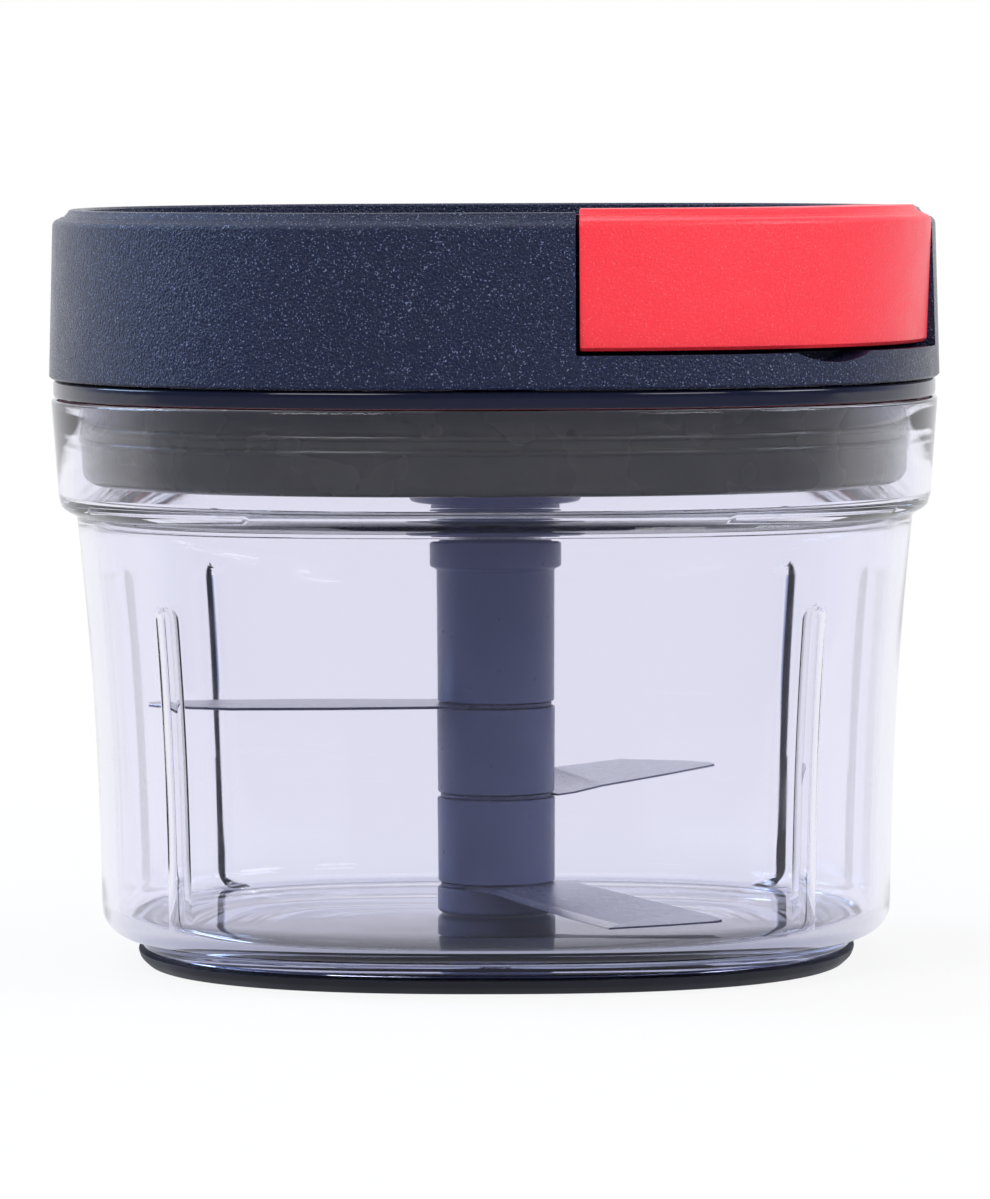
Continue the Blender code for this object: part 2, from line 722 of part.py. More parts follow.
def make_column(look):
    """The three sleeves between and above the blades. The top one has a collar ring and neck."""
    thick = BLADE_THICK + SEAM_GAP
    lower_low = FLOOR_Z + LOWER_BLADE_RISE + thick
    middle_low = FLOOR_Z + MIDDLE_BLADE_RISE + thick
    upper_low = FLOOR_Z + UPPER_BLADE_RISE + thick
    make_sleeve("column_lower", lower_low, FLOOR_Z + MIDDLE_BLADE_RISE - SEAM_GAP, look)
    make_sleeve("column_middle", middle_low, FLOOR_Z + UPPER_BLADE_RISE - SEAM_GAP, look)
    top = COLUMN_TOP_Z - CLIP_HEIGHT - SEAM_GAP
    ring_top = COLUMN_TOP_Z - COLLAR_RING_DROP
    ring_low = ring_top - COLLAR_RING_HEIGHT
    step = COLLAR_RING_RADIUS - COLUMN_RADIUS
    points = [
        (COLUMN_NECK_RADIUS, top),
        (COLUMN_NECK_RADIUS, ring_top),
        (COLLAR_RING_RADIUS - step / 2, ring_top),
        (COLLAR_RING_RADIUS, ring_top - step),
        (COLLAR_RING_RADIUS, ring_low + step / 2),
        (COLUMN_RADIUS, ring_low),
    ]
    make_sleeve("column_upper", upper_low, top, look, points)


def make_column_clip(look):
    """The ring that locks the top sleeve on the core."""
    inner = CORE_ACROSS / math.sqrt(3.0) + CORE_GAP
    high = COLUMN_TOP_Z
    low = high - CLIP_HEIGHT
    outline = [(inner, high), (inner + CLIP_WIDTH, high), (inner + CLIP_WIDTH, low), (inner, low)]
    return turned("column_clip", outline, look, SMALL_STEPS)


def make_blade(name, rise, angle, shares, look):
    """A steel blade with a hub ring between two sleeves. Each row of its shares gives one
    section: a flat strip whose leading edge is ground from above."""
    skin = BLADE_THICK / 2 - SEAM_GAP / 3
    bm = bmesh.new()
    rows = []
    for row_shares in shares:
        reach, edge, back, edge_lift, back_lift = [BLADE_REACH * share for share in row_shares]
        edge_z = BLADE_THICK / 2 + edge_lift
        back_z = BLADE_THICK / 2 + back_lift
        ground_share = min(GRIND_MOST_SHARE, BLADE_GRIND / (back - edge))
        ground = edge + (back - edge) * ground_share
        ground_z = edge_z + (back_z - edge_z) * ground_share
        rows.append(
            [
                bm.verts.new((reach, edge, edge_z - skin)),
                bm.verts.new((reach, back, back_z - skin)),
                bm.verts.new((reach, back, back_z + skin)),
                bm.verts.new((reach, ground, ground_z + skin)),
            ]
        )
    for row, after in zip(rows, rows[1:]):
        for corner in range(4):
            other = (corner + 1) % 4
            bm.faces.new((row[corner], row[other], after[other], after[corner]))
    bm.faces.new(rows[0])
    bm.faces.new(rows[-1])
    arm = finish_mesh(f"{name}_arm", bm, None)
    hub = prism(name, ROUND_STEPS, COLUMN_RADIUS + HUB_OVER_COLUMN, 0.0, BLADE_THICK, look)
    combine(hub, arm, "UNION")
    hole = hexagon(
        f"{name}_hole", CORE_ACROSS + 2 * CORE_GAP, -CUT_OVERRUN, BLADE_THICK + CUT_OVERRUN
    )
    combine(hub, hole, "DIFFERENCE")
    for piece in (arm, hub, hole):
        piece.location.z = FLOOR_Z + rise
        piece.rotation_euler.z = math.radians(angle)
    # The hole keeps the core's own angle, whichever way the arm points.
    hole.rotation_euler.z = 0.0
    return hub


def make_rim_gasket(look):
    outer = FLANGE_HALF - LIP_WALL - SEAT_GAP
    low = RIM_Z + GASKET_GAP
    high = low + GASKET_THICK
    inner = outer - GASKET_WIDTH
    profile = [(outer, low), (outer, high), (inner, high), (inner, low)]
    return plan_sweep("rim_gasket", profile, look)


def make_plug_seal(look):
    """The silicone sleeve on the lid's plug: a flared lip, two soft ridges and a turned-in foot."""
    lip_low = SEAL_TOP_Z - SEAL_LIP_HEIGHT
    low_half = SEAL_HALF - SEAL_TAPER
    inner = PLUG_HALF + SEAT_GAP
    corner = (low_half - SEAL_CORNER, SEAL_Z + SEAL_CORNER)
    ridges = []
    for number in range(SEAL_RIDGES):
        level = lip_low - (2 * number + 1) * SEAL_RIDGE_PITCH / 2
        ridges.append((SEAL_HALF, level + SEAL_RIDGE))
        ridges.append((SEAL_HALF + SEAL_RIDGE, level))
        ridges.append((SEAL_HALF, level - SEAL_RIDGE))
    turn_in = PLUG_HALF - SEAL_TURN_IN
    turn_top = SEAL_Z + SEAL_TURN_THICK
    profile = [
        (inner, SEAL_TOP_Z),
        (SEAL_HALF + SEAL_LIP, SEAL_TOP_Z),
        (SEAL_HALF + SEAL_LIP - SEAL_TAPER, SEAL_TOP_Z - SEAL_LIP_HEIGHT / 2),
        (SEAL_HALF, lip_low),
        *ridges,
        *arc(corner, SEAL_CORNER, 0, -90),
        (turn_in, SEAL_Z),
        (turn_in, turn_top),
        (inner - SEAT_GAP, turn_top),
        (inner, turn_top + SEAT_GAP),
    ]
    return plan_sweep("plug_seal", profile, look)


def make_lid_base(look):
    """The flange ring, the plug tub inside the seal and the boss of the drive, in one moulding."""
    bore = COUPLER_BARREL_RADIUS + RUNNING_GAP + HUB_BUSH_WALL + SEAM_GAP
    boss = bore + HUB_BOSS_WALL
    boss_top = BASE_UNDER_Z + HUB_BUSH_HEIGHT
    groove_outer = FLANGE_HALF - LIP_WALL
    groove_inner = groove_outer - GASKET_WIDTH - 2 * SEAT_GAP
    groove_top = RIM_Z + GASKET_GAP + GASKET_THICK + SEAT_GAP
    step_half = PLUG_HALF - SEAL_TURN_IN - SEAT_GAP
    step_z = SEAL_Z + SEAL_TURN_THICK + SEAT_GAP
    profile = [
        (BASE_INNER, FLANGE_TOP_Z),
        (FLANGE_HALF - 2 * FLANGE_ROUND, FLANGE_TOP_Z),
        (FLANGE_HALF, FLANGE_TOP_Z - FLANGE_ROUND),
        (FLANGE_HALF, FLANGE_Z + FLANGE_ROUND / 2),
        (FLANGE_HALF - LIP_WALL / 4, FLANGE_Z),
        (groove_outer, FLANGE_Z),
        (groove_outer, groove_top),
        (groove_inner, groove_top),
        (groove_inner, FLANGE_Z),
        (PLUG_HALF, FLANGE_Z),
        (PLUG_HALF, step_z + 2 * SEAT_GAP),
        (PLUG_HALF - SEAT_GAP, step_z),
        (step_half, step_z),
        (step_half, BASE_UNDER_Z),
        (bore, BASE_UNDER_Z),
        (bore, boss_top),
        (boss, boss_top),
        (boss, BASE_FLOOR_Z),
        (BASE_INNER, BASE_FLOOR_Z),
    ]
    base = plan_sweep("lid_base", profile, look, round_inside=2 * boss)
    head_hole = SCREW_HEAD_RADIUS + SEAT_GAP
    tube_radius = head_hole + BOSS_TUBE_WALL
    for number, angle in enumerate(SCREW_ANGLES):
        place = post_place(angle)
        boss_tube = prism(
            f"boss_tube_{number}", SMALL_STEPS, tube_radius, BASE_FLOOR_Z - BASE_FLOOR_THICK / 2,
            BOSS_TUBE_Z, place=place,
        )
        combine(base, boss_tube, "UNION")
    for number, angle in enumerate(SCREW_ANGLES):
        place = post_place(angle)
        head = prism(
            f"head_hole_{number}", SMALL_STEPS, head_hole, BASE_UNDER_Z - CUT_OVERRUN,
            BOSS_TUBE_Z - BOSS_TUBE_TOP, place=place,
        )
        shank = prism(
            f"shank_hole_{number}", SMALL_STEPS, SCREW_SHANK_RADIUS + SEAT_GAP,
            BOSS_TUBE_Z - BOSS_TUBE_TOP - CUT_OVERRUN / 2, BOSS_TUBE_Z + CUT_OVERRUN, place=place,
        )
        combine(base, head, "DIFFERENCE")
        combine(base, shank, "DIFFERENCE")
    return base


def post_place(angle):
    turn = math.radians(angle)
    return (POST_DISTANCE * math.cos(turn), POST_DISTANCE * math.sin(turn))


def shell_outside(top_lift=0.0):
    """The lid's outer side from the shoulder to the rim's top, shared by shell and handle."""
    top = SHELL_TOP_Z + top_lift
    ledge = SHELL_TOP_HALF - SHOULDER_WIDTH
    slope = ledge - LEDGE_WIDTH
    return [
        (SHELL_TOP_HALF, top - SHOULDER_DROP),
        (SHELL_TOP_HALF - SHOULDER_WIDTH / 4, top - SHOULDER_DROP + SHOULDER_WIDTH * SHOULDER_SHARE),
        (ledge, top - RIM_RISE),
        (slope, top - RIM_RISE + RIM_EDGE / 3),
        (slope - RIM_SLOPE, top - RIM_EDGE),
        (slope - RIM_SLOPE - RIM_EDGE, top),
    ]


def make_lid_shell(look):
    rim_inner = SHELL_TOP_HALF - SHOULDER_WIDTH - LEDGE_WIDTH - RIM_SLOPE - RIM_EDGE - RIM_WIDTH
    profile = [
        (0.0, DECK_Z),
        (rim_inner - RIM_EDGE, DECK_Z),
        (rim_inner - RIM_EDGE, SHELL_TOP_Z - RIM_EDGE),
        (rim_inner, SHELL_TOP_Z),
        *reversed(shell_outside()),
        (LID_HALF, SHELL_Z),
        (LID_HALF - SHELL_WALL, SHELL_Z),
        (SHELL_TOP_HALF - SHELL_WALL, DECK_UNDER_Z),
        (0.0, DECK_UNDER_Z),
    ]
    shell = plan_sweep("lid_shell", profile, look)
    block_floor = RECESS_Z - RECESS_WALL
    block_top = SHELL_TOP_Z - RECESS_RIM_DROP
    block_half = LID_HALF - SHELL_WALL / 2
    recess_start = HANDLE_START - HANDLE_SIDE_GAP
    block = corner_loft(
        "recess_block",
        [
            (RECESS_INNER_HALF, block_floor),
            (block_half, block_floor),
            (block_half - SHELL_TAPER, DECK_UNDER_Z),
            (rim_inner + RIM_WIDTH / 2, block_top),
            (RECESS_INNER_HALF, block_top),
        ],
        recess_start - RECESS_WALL,
    )
    combine(shell, block, "UNION")
    axle_boss = prism(
        "axle_boss", ROUND_STEPS, AXLE_BOSS_RADIUS, AXLE_BOSS_Z, DECK_Z - DECK_THICK / 2
    )
    combine(shell, axle_boss, "UNION")
    for number, angle in enumerate(SCREW_ANGLES):
        post = prism(
            f"shell_post_{number}", SMALL_STEPS, POST_RADIUS, BOSS_TUBE_Z + SEAT_GAP,
            DECK_Z - DECK_THICK / 2, place=post_place(angle),
        )
        combine(shell, post, "UNION")
    far = LID_HALF + CUT_OVERRUN
    recess = corner_loft(
        "recess_cut",
        [
            (RECESS_HALF, RECESS_Z),
            (far, RECESS_Z),
            (far, SHELL_TOP_Z + CUT_OVERRUN),
            (RECESS_HALF, SHELL_TOP_Z + CUT_OVERRUN),
        ],
        recess_start,
    )
    combine(shell, recess, "DIFFERENCE")
    combine(shell, make_scallop(), "DIFFERENCE")
    axle_hole = prism(
        "axle_hole", SMALL_STEPS, AXLE_RADIUS + SEAT_GAP, AXLE_BOSS_Z - CUT_OVERRUN,
        DECK_UNDER_Z - AXLE_END_GAP + SEAT_GAP,
    )
    combine(shell, axle_hole, "DIFFERENCE")
    for number, angle in enumerate(SCREW_ANGLES):
        pilot = prism(
            f"pilot_{number}", SMALL_STEPS, SCREW_SHANK_RADIUS + SEAT_GAP,
            BOSS_TUBE_Z - CUT_OVERRUN, screw_seat_z() + SCREW_SHANK_LENGTH + SEAT_GAP,
            place=post_place(angle),
        )
        combine(shell, pilot, "DIFFERENCE")
    eyelet_hole = along_pull(
        prism("eyelet_hole", SMALL_STEPS, eyelet_outer() + SEAT_GAP, 0.0, HANDLE_DEPTH),
        RECESS_INNER_HALF * CORNER_SHARE - HANDLE_DEPTH / 2,
    )
    return combine(shell, eyelet_hole, "DIFFERENCE")


def make_scallop():
    """The finger dip in the recess floor: a cylinder that lies along the pull direction."""
    chord = SCALLOP_WIDTH / 2
    radius = (chord**2 + SCALLOP_DEPTH**2) / (2 * SCALLOP_DEPTH)
    dip = prism("finger_dip", 3 * ROUND_STEPS, radius, 0.0, HANDLE_DEPTH)
    centre = RECESS_Z + radius - SCALLOP_DEPTH
    start = LID_HALF * CORNER_SHARE - HANDLE_DEPTH / 2
    return along_pull(dip, start, centre)


def along_pull(piece, start, level=None):
    """Lays a piece that stands on the origin down along the pull direction, from start outward."""
    piece.rotation_euler = (0.0, math.pi / 2, PULL_ANGLE)
    piece.location = PULL * start
    piece.location.z = CORD_Z if level is None else level
    return piece


def screw_seat_z():
    """Level of the underside that a lid screw's head pulls against."""
    return BOSS_TUBE_Z - BOSS_TUBE_TOP - SEAT_GAP


def make_lid_screws(look):
    seat = screw_seat_z()
    low = seat - SCREW_HEAD_HEIGHT
    outline = [
        (0.0, seat + SCREW_SHANK_LENGTH),
        (SCREW_SHANK_RADIUS / 2, seat + SCREW_SHANK_LENGTH),
        (SCREW_SHANK_RADIUS, seat + SCREW_SHANK_LENGTH - SCREW_SHANK_RADIUS),
        (SCREW_SHANK_RADIUS, seat),
        (SCREW_HEAD_RADIUS, seat),
        (SCREW_HEAD_RADIUS, low + SCREW_HEAD_HEIGHT / 3),
        (SCREW_HEAD_RADIUS * SCREW_EDGE_SHARE, low),
        (0.0, low),
    ]
    drive = hexagon("screw_drive", SCREW_SLOT_ACROSS, low - CUT_OVERRUN, low + SCREW_SLOT_DEPTH)
    screws = []
    for number, angle in enumerate(SCREW_ANGLES):
        screw = turned(f"lid_screw_{number + 1}", outline, look, SMALL_STEPS)
        place = post_place(angle)
        screw.location = (*place, 0.0)
        socket = drive.copy()
        socket.name = f"screw_drive_{number + 1}"
        socket.location = (*place, 0.0)
        CUTTERS.objects.link(socket)
        combine(screw, socket, "DIFFERENCE")
        screws.append(screw)
    bpy.data.objects.remove(drive, do_unlink=True)
    return screws


def eyelet_outer():
    return CORD_RADIUS + EYELET_BORE_GAP + EYELET_WALL


def make_eyelet(look):
    """The ferrule that guides the cord through the recess wall, its flange on the inside."""
    bore = CORD_RADIUS + EYELET_BORE_GAP
    outer = eyelet_outer()
    wall_inside = RECESS_INNER_HALF * CORNER_SHARE
    wall_outside = RECESS_HALF * CORNER_SHARE
    flange_top = EYELET_FLANGE_THICK
    length = wall_outside - wall_inside + EYELET_FLANGE_THICK + SEAT_GAP
    outline = [
        (bore, length),
        (outer, length),
        (outer, flange_top),
        (outer + EYELET_FLANGE, flange_top),
        (outer + EYELET_FLANGE, flange_top / 3),
        (outer + EYELET_FLANGE / 2, 0.0),
        (bore + EYELET_BORE_GAP, 0.0),
        (bore, EYELET_FLANGE_THICK / 2),
    ]
    eyelet = turned("cord_eyelet", outline, look, SMALL_STEPS)
    return along_pull(eyelet, wall_inside - 2 * SEAT_GAP - EYELET_FLANGE_THICK)


def make_axle(look):
    low = REEL_HUB_Z + TANG_HEIGHT + SEAT_GAP + AXLE_END_GAP
    high = DECK_UNDER_Z - AXLE_END_GAP
    edge = AXLE_RADIUS / 6
    outline = [
        (0.0, high),
        (AXLE_RADIUS, high),
        (AXLE_RADIUS, low + edge),
        (AXLE_RADIUS - edge, low),
        (0.0, low),
    ]
    return turned("reel_axle", outline, look, SMALL_STEPS)


def make_reel(look):
    """A flanged drum with the spring's cup inside it and a hexagonal drive recess below."""
    flange = REEL_CORE_RADIUS + REEL_FLANGE
    cup = REEL_CORE_RADIUS - REEL_WALL
    bore = AXLE_RADIUS + RUNNING_GAP
    seat = REEL_TOP_Z - COVER_SEAT_DROP
    outline = [
        (cup + REEL_COVER_STEP, REEL_TOP_Z),
        (flange, REEL_TOP_Z),
        (flange, GROOVE_TOP_Z),
        (REEL_CORE_RADIUS, GROOVE_TOP_Z),
        (REEL_CORE_RADIUS, GROOVE_Z),
        (flange, GROOVE_Z),
        (flange, REEL_Z),
        (REEL_HUB_RADIUS, REEL_Z),
        (REEL_HUB_RADIUS, REEL_HUB_Z),
        (bore, REEL_HUB_Z),
        (bore, GROOVE_Z),
        (cup, GROOVE_Z),
        (cup, seat),
        (cup + REEL_COVER_STEP, seat),
    ]
    reel = turned("cord_reel", outline, look, steps=ROUND_STEPS + 4)
    recess = hexagon(
        "tang_recess", TANG_ACROSS + 2 * SEAT_GAP, REEL_HUB_Z - CUT_OVERRUN,
        REEL_HUB_Z + TANG_HEIGHT + SEAT_GAP,
    )
    return combine(reel, recess, "DIFFERENCE")


def make_spring_cover(look):
    outer = REEL_CORE_RADIUS - REEL_WALL + REEL_COVER_STEP - SEAT_GAP
    inner = AXLE_BOSS_RADIUS + RUNNING_GAP
    high = COVER_Z + COVER_THICK
    outline = [(inner, high), (outer, high), (outer, COVER_Z), (inner, COVER_Z)]
    return turned("spring_cover", outline, look)


def make_recoil_spring(look):
    """A flat strip wound in a spiral from the axle boss out to the wall of the reel's cup."""
    first = AXLE_BOSS_RADIUS + SPRING_END_GAP
    last = REEL_CORE_RADIUS - REEL_WALL - SPRING_END_GAP
    low = GROOVE_Z + SPRING_END_GAP
    count = SPRING_TURNS * SPRING_LOOP_POINTS
    bm = bmesh.new()
    rows = []
    centre_line = []
    for step in range(count + 1):
        angle = 2 * math.pi * step / SPRING_LOOP_POINTS
        radius = first + (last - first) * step / count
        out = Vector((math.cos(angle), math.sin(angle), 0.0))
        centre_line.append(out * radius)
        near = out * (radius - SPRING_THICK / 2)
        far = out * (radius + SPRING_THICK / 2)
        rise = Vector((0.0, 0.0, SPRING_HEIGHT))
        base = Vector((0.0, 0.0, low))
        corners = (near + base, far + base, far + base + rise, near + base + rise)
        rows.append([bm.verts.new(corner) for corner in corners])
    for row, after in zip(rows, rows[1:]):
        for corner in range(4):
            other = (corner + 1) % 4
            bm.faces.new((row[corner], row[other], after[other], after[corner]))
    bm.faces.new(rows[0])
    bm.faces.new(rows[-1])
    least_gap("recoil spring", centre_line, SPRING_THICK / 2, SPRING_LOOP_POINTS // 2)
    return finish_mesh("recoil_spring", bm, look)


def tangent_angle(from_axis):
    """Angle on the winding circle where the cord leaves it for a point on the pull diagonal."""
    return PULL_ANGLE + math.acos(WIND_RADIUS / from_axis)


def bend_place():
    """Distance from the axis at which the cord turns onto the pull diagonal."""
    return RECESS_INNER_HALF * CORNER_SHARE - 2 * SEAT_GAP - EYELET_FLANGE_THICK - CORD_BEND_ON


def make_cord_winding(look):
    """The turns of cord on the reel, one unbroken helix that climbs to the height of the eyelet."""
    start = tangent_angle(bend_place())
    points = []
    for step in range(CORD_TURNS * CORD_LOOP_POINTS + 1):
        angle = start + 2 * math.pi * step / CORD_LOOP_POINTS
        level = CORD_Z - CORD_PITCH * step / CORD_LOOP_POINTS
        points.append(
            Vector((WIND_RADIUS * math.cos(angle), WIND_RADIUS * math.sin(angle), level))
        )
    least_gap("cord winding", points, CORD_RADIUS, CORD_LOOP_POINTS // 2)
    return tube("cord_winding", points, CORD_RADIUS, look)


def make_cord_lead(look):
    """The cord's run from beside the winding to the eyelet, where it bends onto the diagonal."""
    corner = PULL * bend_place()
    start = tangent_angle(bend_place())
    leave = Vector((WIND_RADIUS * math.cos(start), WIND_RADIUS * math.sin(start), 0.0))
    way = (corner - leave).normalized()
    before = corner - way * CORD_BEND_BACK
    after = corner + PULL * CORD_BEND_ON
    points = [leave + way * CORD_LEAD_GAP, (leave + way * CORD_LEAD_GAP).lerp(before, 0.5)]
    for step in range(CORD_BEND_POINTS + 1):
        share = step / CORD_BEND_POINTS
        points.append(before.lerp(corner, share).lerp(corner.lerp(after, share), share))
    points.append(PULL * (RECESS_HALF * CORNER_SHARE))
    level = Vector((0.0, 0.0, CORD_Z))
    return tube("cord_lead", [point + level for point in points], CORD_RADIUS, look)


def make_cord_end(look):
    """The cord's last short run, from the recess through the handle's back plate to the knot."""
    start = RECESS_HALF * CORNER_SHARE + SEAT_GAP
    end = knot_place() - KNOT_RADIUS
    level = Vector((0.0, 0.0, CORD_Z))
    points = [PULL * start + level, PULL * (start + end) / 2 + level, PULL * end + level]
    return tube("cord_end", points, CORD_RADIUS, look)


def knot_place():
    """Distance of the knot's centre from the axis, behind the handle's back plate."""
    plate_front = (HANDLE_BACK_HALF + BACK_PLATE_THICK) * CORNER_SHARE
    return plate_front + SEAT_GAP + KNOT_RADIUS


def make_cord_knot(look):
    """The stopper knot: a ball with three lobes, drawn tight on the cord's end."""
    bm = bmesh.new()
    bmesh.ops.create_uvsphere(
        bm, u_segments=SMALL_STEPS, v_segments=KNOT_RINGS, radius=KNOT_RADIUS
    )
    for vertex in bm.verts:
        turn = math.atan2(vertex.co.y, vertex.co.x)
        swell = 1.0 - KNOT_LOBE_SHARE * (1.0 - math.cos(3 * turn + 2 * vertex.co.z / KNOT_RADIUS))
        vertex.co.x *= swell
        vertex.co.y *= swell
    knot = finish_mesh("cord_knot", bm, look)
    return along_pull(knot, knot_place() + SEAT_GAP)


def make_handle_grip(look):
    """The corner of the lid that comes away as the handle: a shell that is open at its back."""
    low = RECESS_Z + HANDLE_UNDER_GAP
    top = SHELL_TOP_Z + HANDLE_PROUD
    profile = [
        (HANDLE_BACK_HALF, low),
        (LID_HALF - HANDLE_EDGE - SHELL_TAPER / 4, low),
        (LID_HALF - SHELL_TAPER / 4, low + HANDLE_EDGE),
        *shell_outside(HANDLE_PROUD),
        (HANDLE_BACK_HALF, top),
    ]
    grip = corner_loft("handle_grip", profile, HANDLE_START, look)
    inner_top = top - HANDLE_WALL
    inner_low = low + HANDLE_WALL
    hollow = corner_loft(
        "handle_hollow",
        [
            (HANDLE_BACK_HALF - CUT_OVERRUN, inner_low),
            (SHELL_TOP_HALF - HANDLE_WALL, inner_low),
            (SHELL_TOP_HALF - HANDLE_WALL, inner_top - HANDLE_WALL),
            (SHELL_TOP_HALF - 2 * HANDLE_WALL, inner_top),
            (HANDLE_BACK_HALF - CUT_OVERRUN, inner_top),
        ],
        HANDLE_START + HANDLE_WALL,
    )
    return combine(grip, hollow, "DIFFERENCE")


def make_handle_back(look):
    """The plate that closes the handle's back and holds the cord's knot in."""
    low = RECESS_Z + HANDLE_UNDER_GAP + HANDLE_WALL + SEAT_GAP
    high = SHELL_TOP_Z + HANDLE_PROUD - HANDLE_WALL - SEAT_GAP
    front = HANDLE_BACK_HALF + BACK_PLATE_THICK
    plate = corner_loft(
        "handle_back",
        [(HANDLE_BACK_HALF, low), (front, low), (front, high), (HANDLE_BACK_HALF, high)],
        HANDLE_START + HANDLE_WALL + SEAT_GAP,
        look,
    )
    hole = along_pull(
        prism("cord_hole", SMALL_STEPS, CORD_RADIUS + EYELET_BORE_GAP, 0.0, HANDLE_DEPTH),
        HANDLE_BACK_HALF * CORNER_SHARE - HANDLE_DEPTH / 2,
    )
    return combine(plate, hole, "DIFFERENCE")


def make_coupler(look):
    """The drive piece that hangs through the lid base: flange, hexagonal socket, barrel, shaft
    and the tang that turns with the reel."""
    groove_low = circlip_z() - SEAM_GAP
    groove_high = circlip_z() + CIRCLIP_THICK + SEAM_GAP
    barrel_top = groove_high + CIRCLIP_THICK
    groove = COUPLER_BARREL_RADIUS - CIRCLIP_GROOVE_DEPTH
    flange_edge = COUPLER_FLANGE_THICK / 4
    outline = [
        (0.0, SHOULDER_Z),
        (COUPLER_SHAFT_RADIUS, SHOULDER_Z),
        (COUPLER_SHAFT_RADIUS, barrel_top),
        (COUPLER_BARREL_RADIUS, barrel_top),
        (COUPLER_BARREL_RADIUS, groove_high),
        (groove, groove_high),
        (groove, groove_low),
        (COUPLER_BARREL_RADIUS, groove_low),
        (COUPLER_BARREL_RADIUS, BASE_UNDER_Z - COUPLER_FLANGE_GAP),
        (COUPLER_FLANGE_RADIUS, BASE_UNDER_Z - COUPLER_FLANGE_GAP),
        (COUPLER_FLANGE_RADIUS, COUPLER_FLANGE_Z + flange_edge),
        (COUPLER_FLANGE_RADIUS - flange_edge, COUPLER_FLANGE_Z),
        (COUPLER_STEP_RADIUS, COUPLER_FLANGE_Z),
        (COUPLER_STEP_RADIUS, COUPLER_Z),
        (0.0, COUPLER_Z),
    ]
    coupler = turned("drive_coupler", outline, look)
    tang = hexagon("tang_body", TANG_ACROSS, SHOULDER_Z - CUT_OVERRUN, SHOULDER_Z + TANG_HEIGHT)
    combine(coupler, tang, "UNION")
    socket = hexagon(
        "socket_hole", CORE_ACROSS + 2 * CORE_GAP, COUPLER_Z - CUT_OVERRUN,
        COUPLER_Z + SOCKET_DEPTH,
    )
    return combine(coupler, socket, "DIFFERENCE")


def hub_bush_top():
    return BASE_UNDER_Z + HUB_BUSH_HEIGHT + SEAT_GAP + HUB_BUSH_FLANGE_THICK


def circlip_z():
    return hub_bush_top() + SEAT_GAP


def make_hub_bush(look):
    inner = COUPLER_BARREL_RADIUS + RUNNING_GAP
    outer = inner + HUB_BUSH_WALL
    seat = hub_bush_top() - HUB_BUSH_FLANGE_THICK
    outline = [
        (inner, hub_bush_top()),
        (outer + HUB_BUSH_FLANGE, hub_bush_top()),
        (outer + HUB_BUSH_FLANGE, seat),
        (outer, seat),
        (outer, BASE_UNDER_Z + SEAT_GAP),
        (inner, BASE_UNDER_Z + SEAT_GAP),
    ]
    return turned("hub_bush", outline, look)


def make_circlip(look):
    inner = COUPLER_BARREL_RADIUS - CIRCLIP_GROOVE_DEPTH + SEAT_GAP
    outer = inner + CIRCLIP_WIDTH
    low = circlip_z()
    high = low + CIRCLIP_THICK
    outline = [(inner, high), (outer, high), (outer, low), (inner, low)]
    return turned("hub_circlip", outline, look)


def carrier(name, level, members):
    """An empty on the main axis that carries the pieces of one body."""
    empty = bpy.data.objects.new(name, None)
    PARTS.objects.link(empty)
    empty.location.z = level
    for member in members:
        piece = bpy.data.objects[member]
        piece.parent = empty
        piece.matrix_parent_inverse = Matrix.Translation((0.0, 0.0, -level))
    return empty


clear_scene()
PARTS = new_collection("pull_cord_food_chopper")
CUTTERS = new_collection("cutters")
CUTTERS.hide_render = True

clear_plastic = principled("clear_plastic", CLEAR, 0.05, clear=0.9)
slate_plastic = principled("slate_plastic", SLATE, 0.45)
steel = principled("brushed_steel", STEEL, 0.25, metallic=1.0)

make_foot(principled("foot_rubber", FOOT_DARK, 0.7))
make_bowl(clear_plastic)
make_bowl_pin(steel)

make_spindle(slate_plastic)
make_spindle_bush(principled("nylon", WHITE_NYLON, 0.5))
make_column(slate_plastic)
make_column_clip(steel)
make_blade("blade_lower", LOWER_BLADE_RISE, LOWER_BLADE_ANGLE, LOWER_BLADE_SHARES, steel)
make_blade("blade_middle", MIDDLE_BLADE_RISE, MIDDLE_BLADE_ANGLE, MIDDLE_BLADE_SHARES, steel)
make_blade("blade_upper", UPPER_BLADE_RISE, UPPER_BLADE_ANGLE, UPPER_BLADE_SHARES, steel)

make_rim_gasket(principled("dark_red_rubber", DARK_RED, 0.6))
make_plug_seal(principled("grey_silicone", OLIVE_GREY, 0.5))
make_lid_base(principled("gloss_navy_plastic", GLOSS_NAVY, 0.15))
make_lid_shell(principled("grained_navy_plastic", NAVY, 0.45))
make_lid_screws(steel)
make_eyelet(steel)
make_axle(steel)

make_reel(slate_plastic)
make_spring_cover(slate_plastic)
make_recoil_spring(steel)
cord_look = principled("white_cord", CORD_WHITE, 0.8)
make_cord_winding(cord_look)
make_cord_lead(cord_look)
make_cord_end(cord_look)
make_cord_knot(cord_look)
make_coupler(slate_plastic)
make_hub_bush(principled("brass", BRASS, 0.35, metallic=1.0))
make_circlip(steel)

coral = principled("coral_plastic", CORAL, 0.4)
make_handle_grip(coral)
make_handle_back(coral)

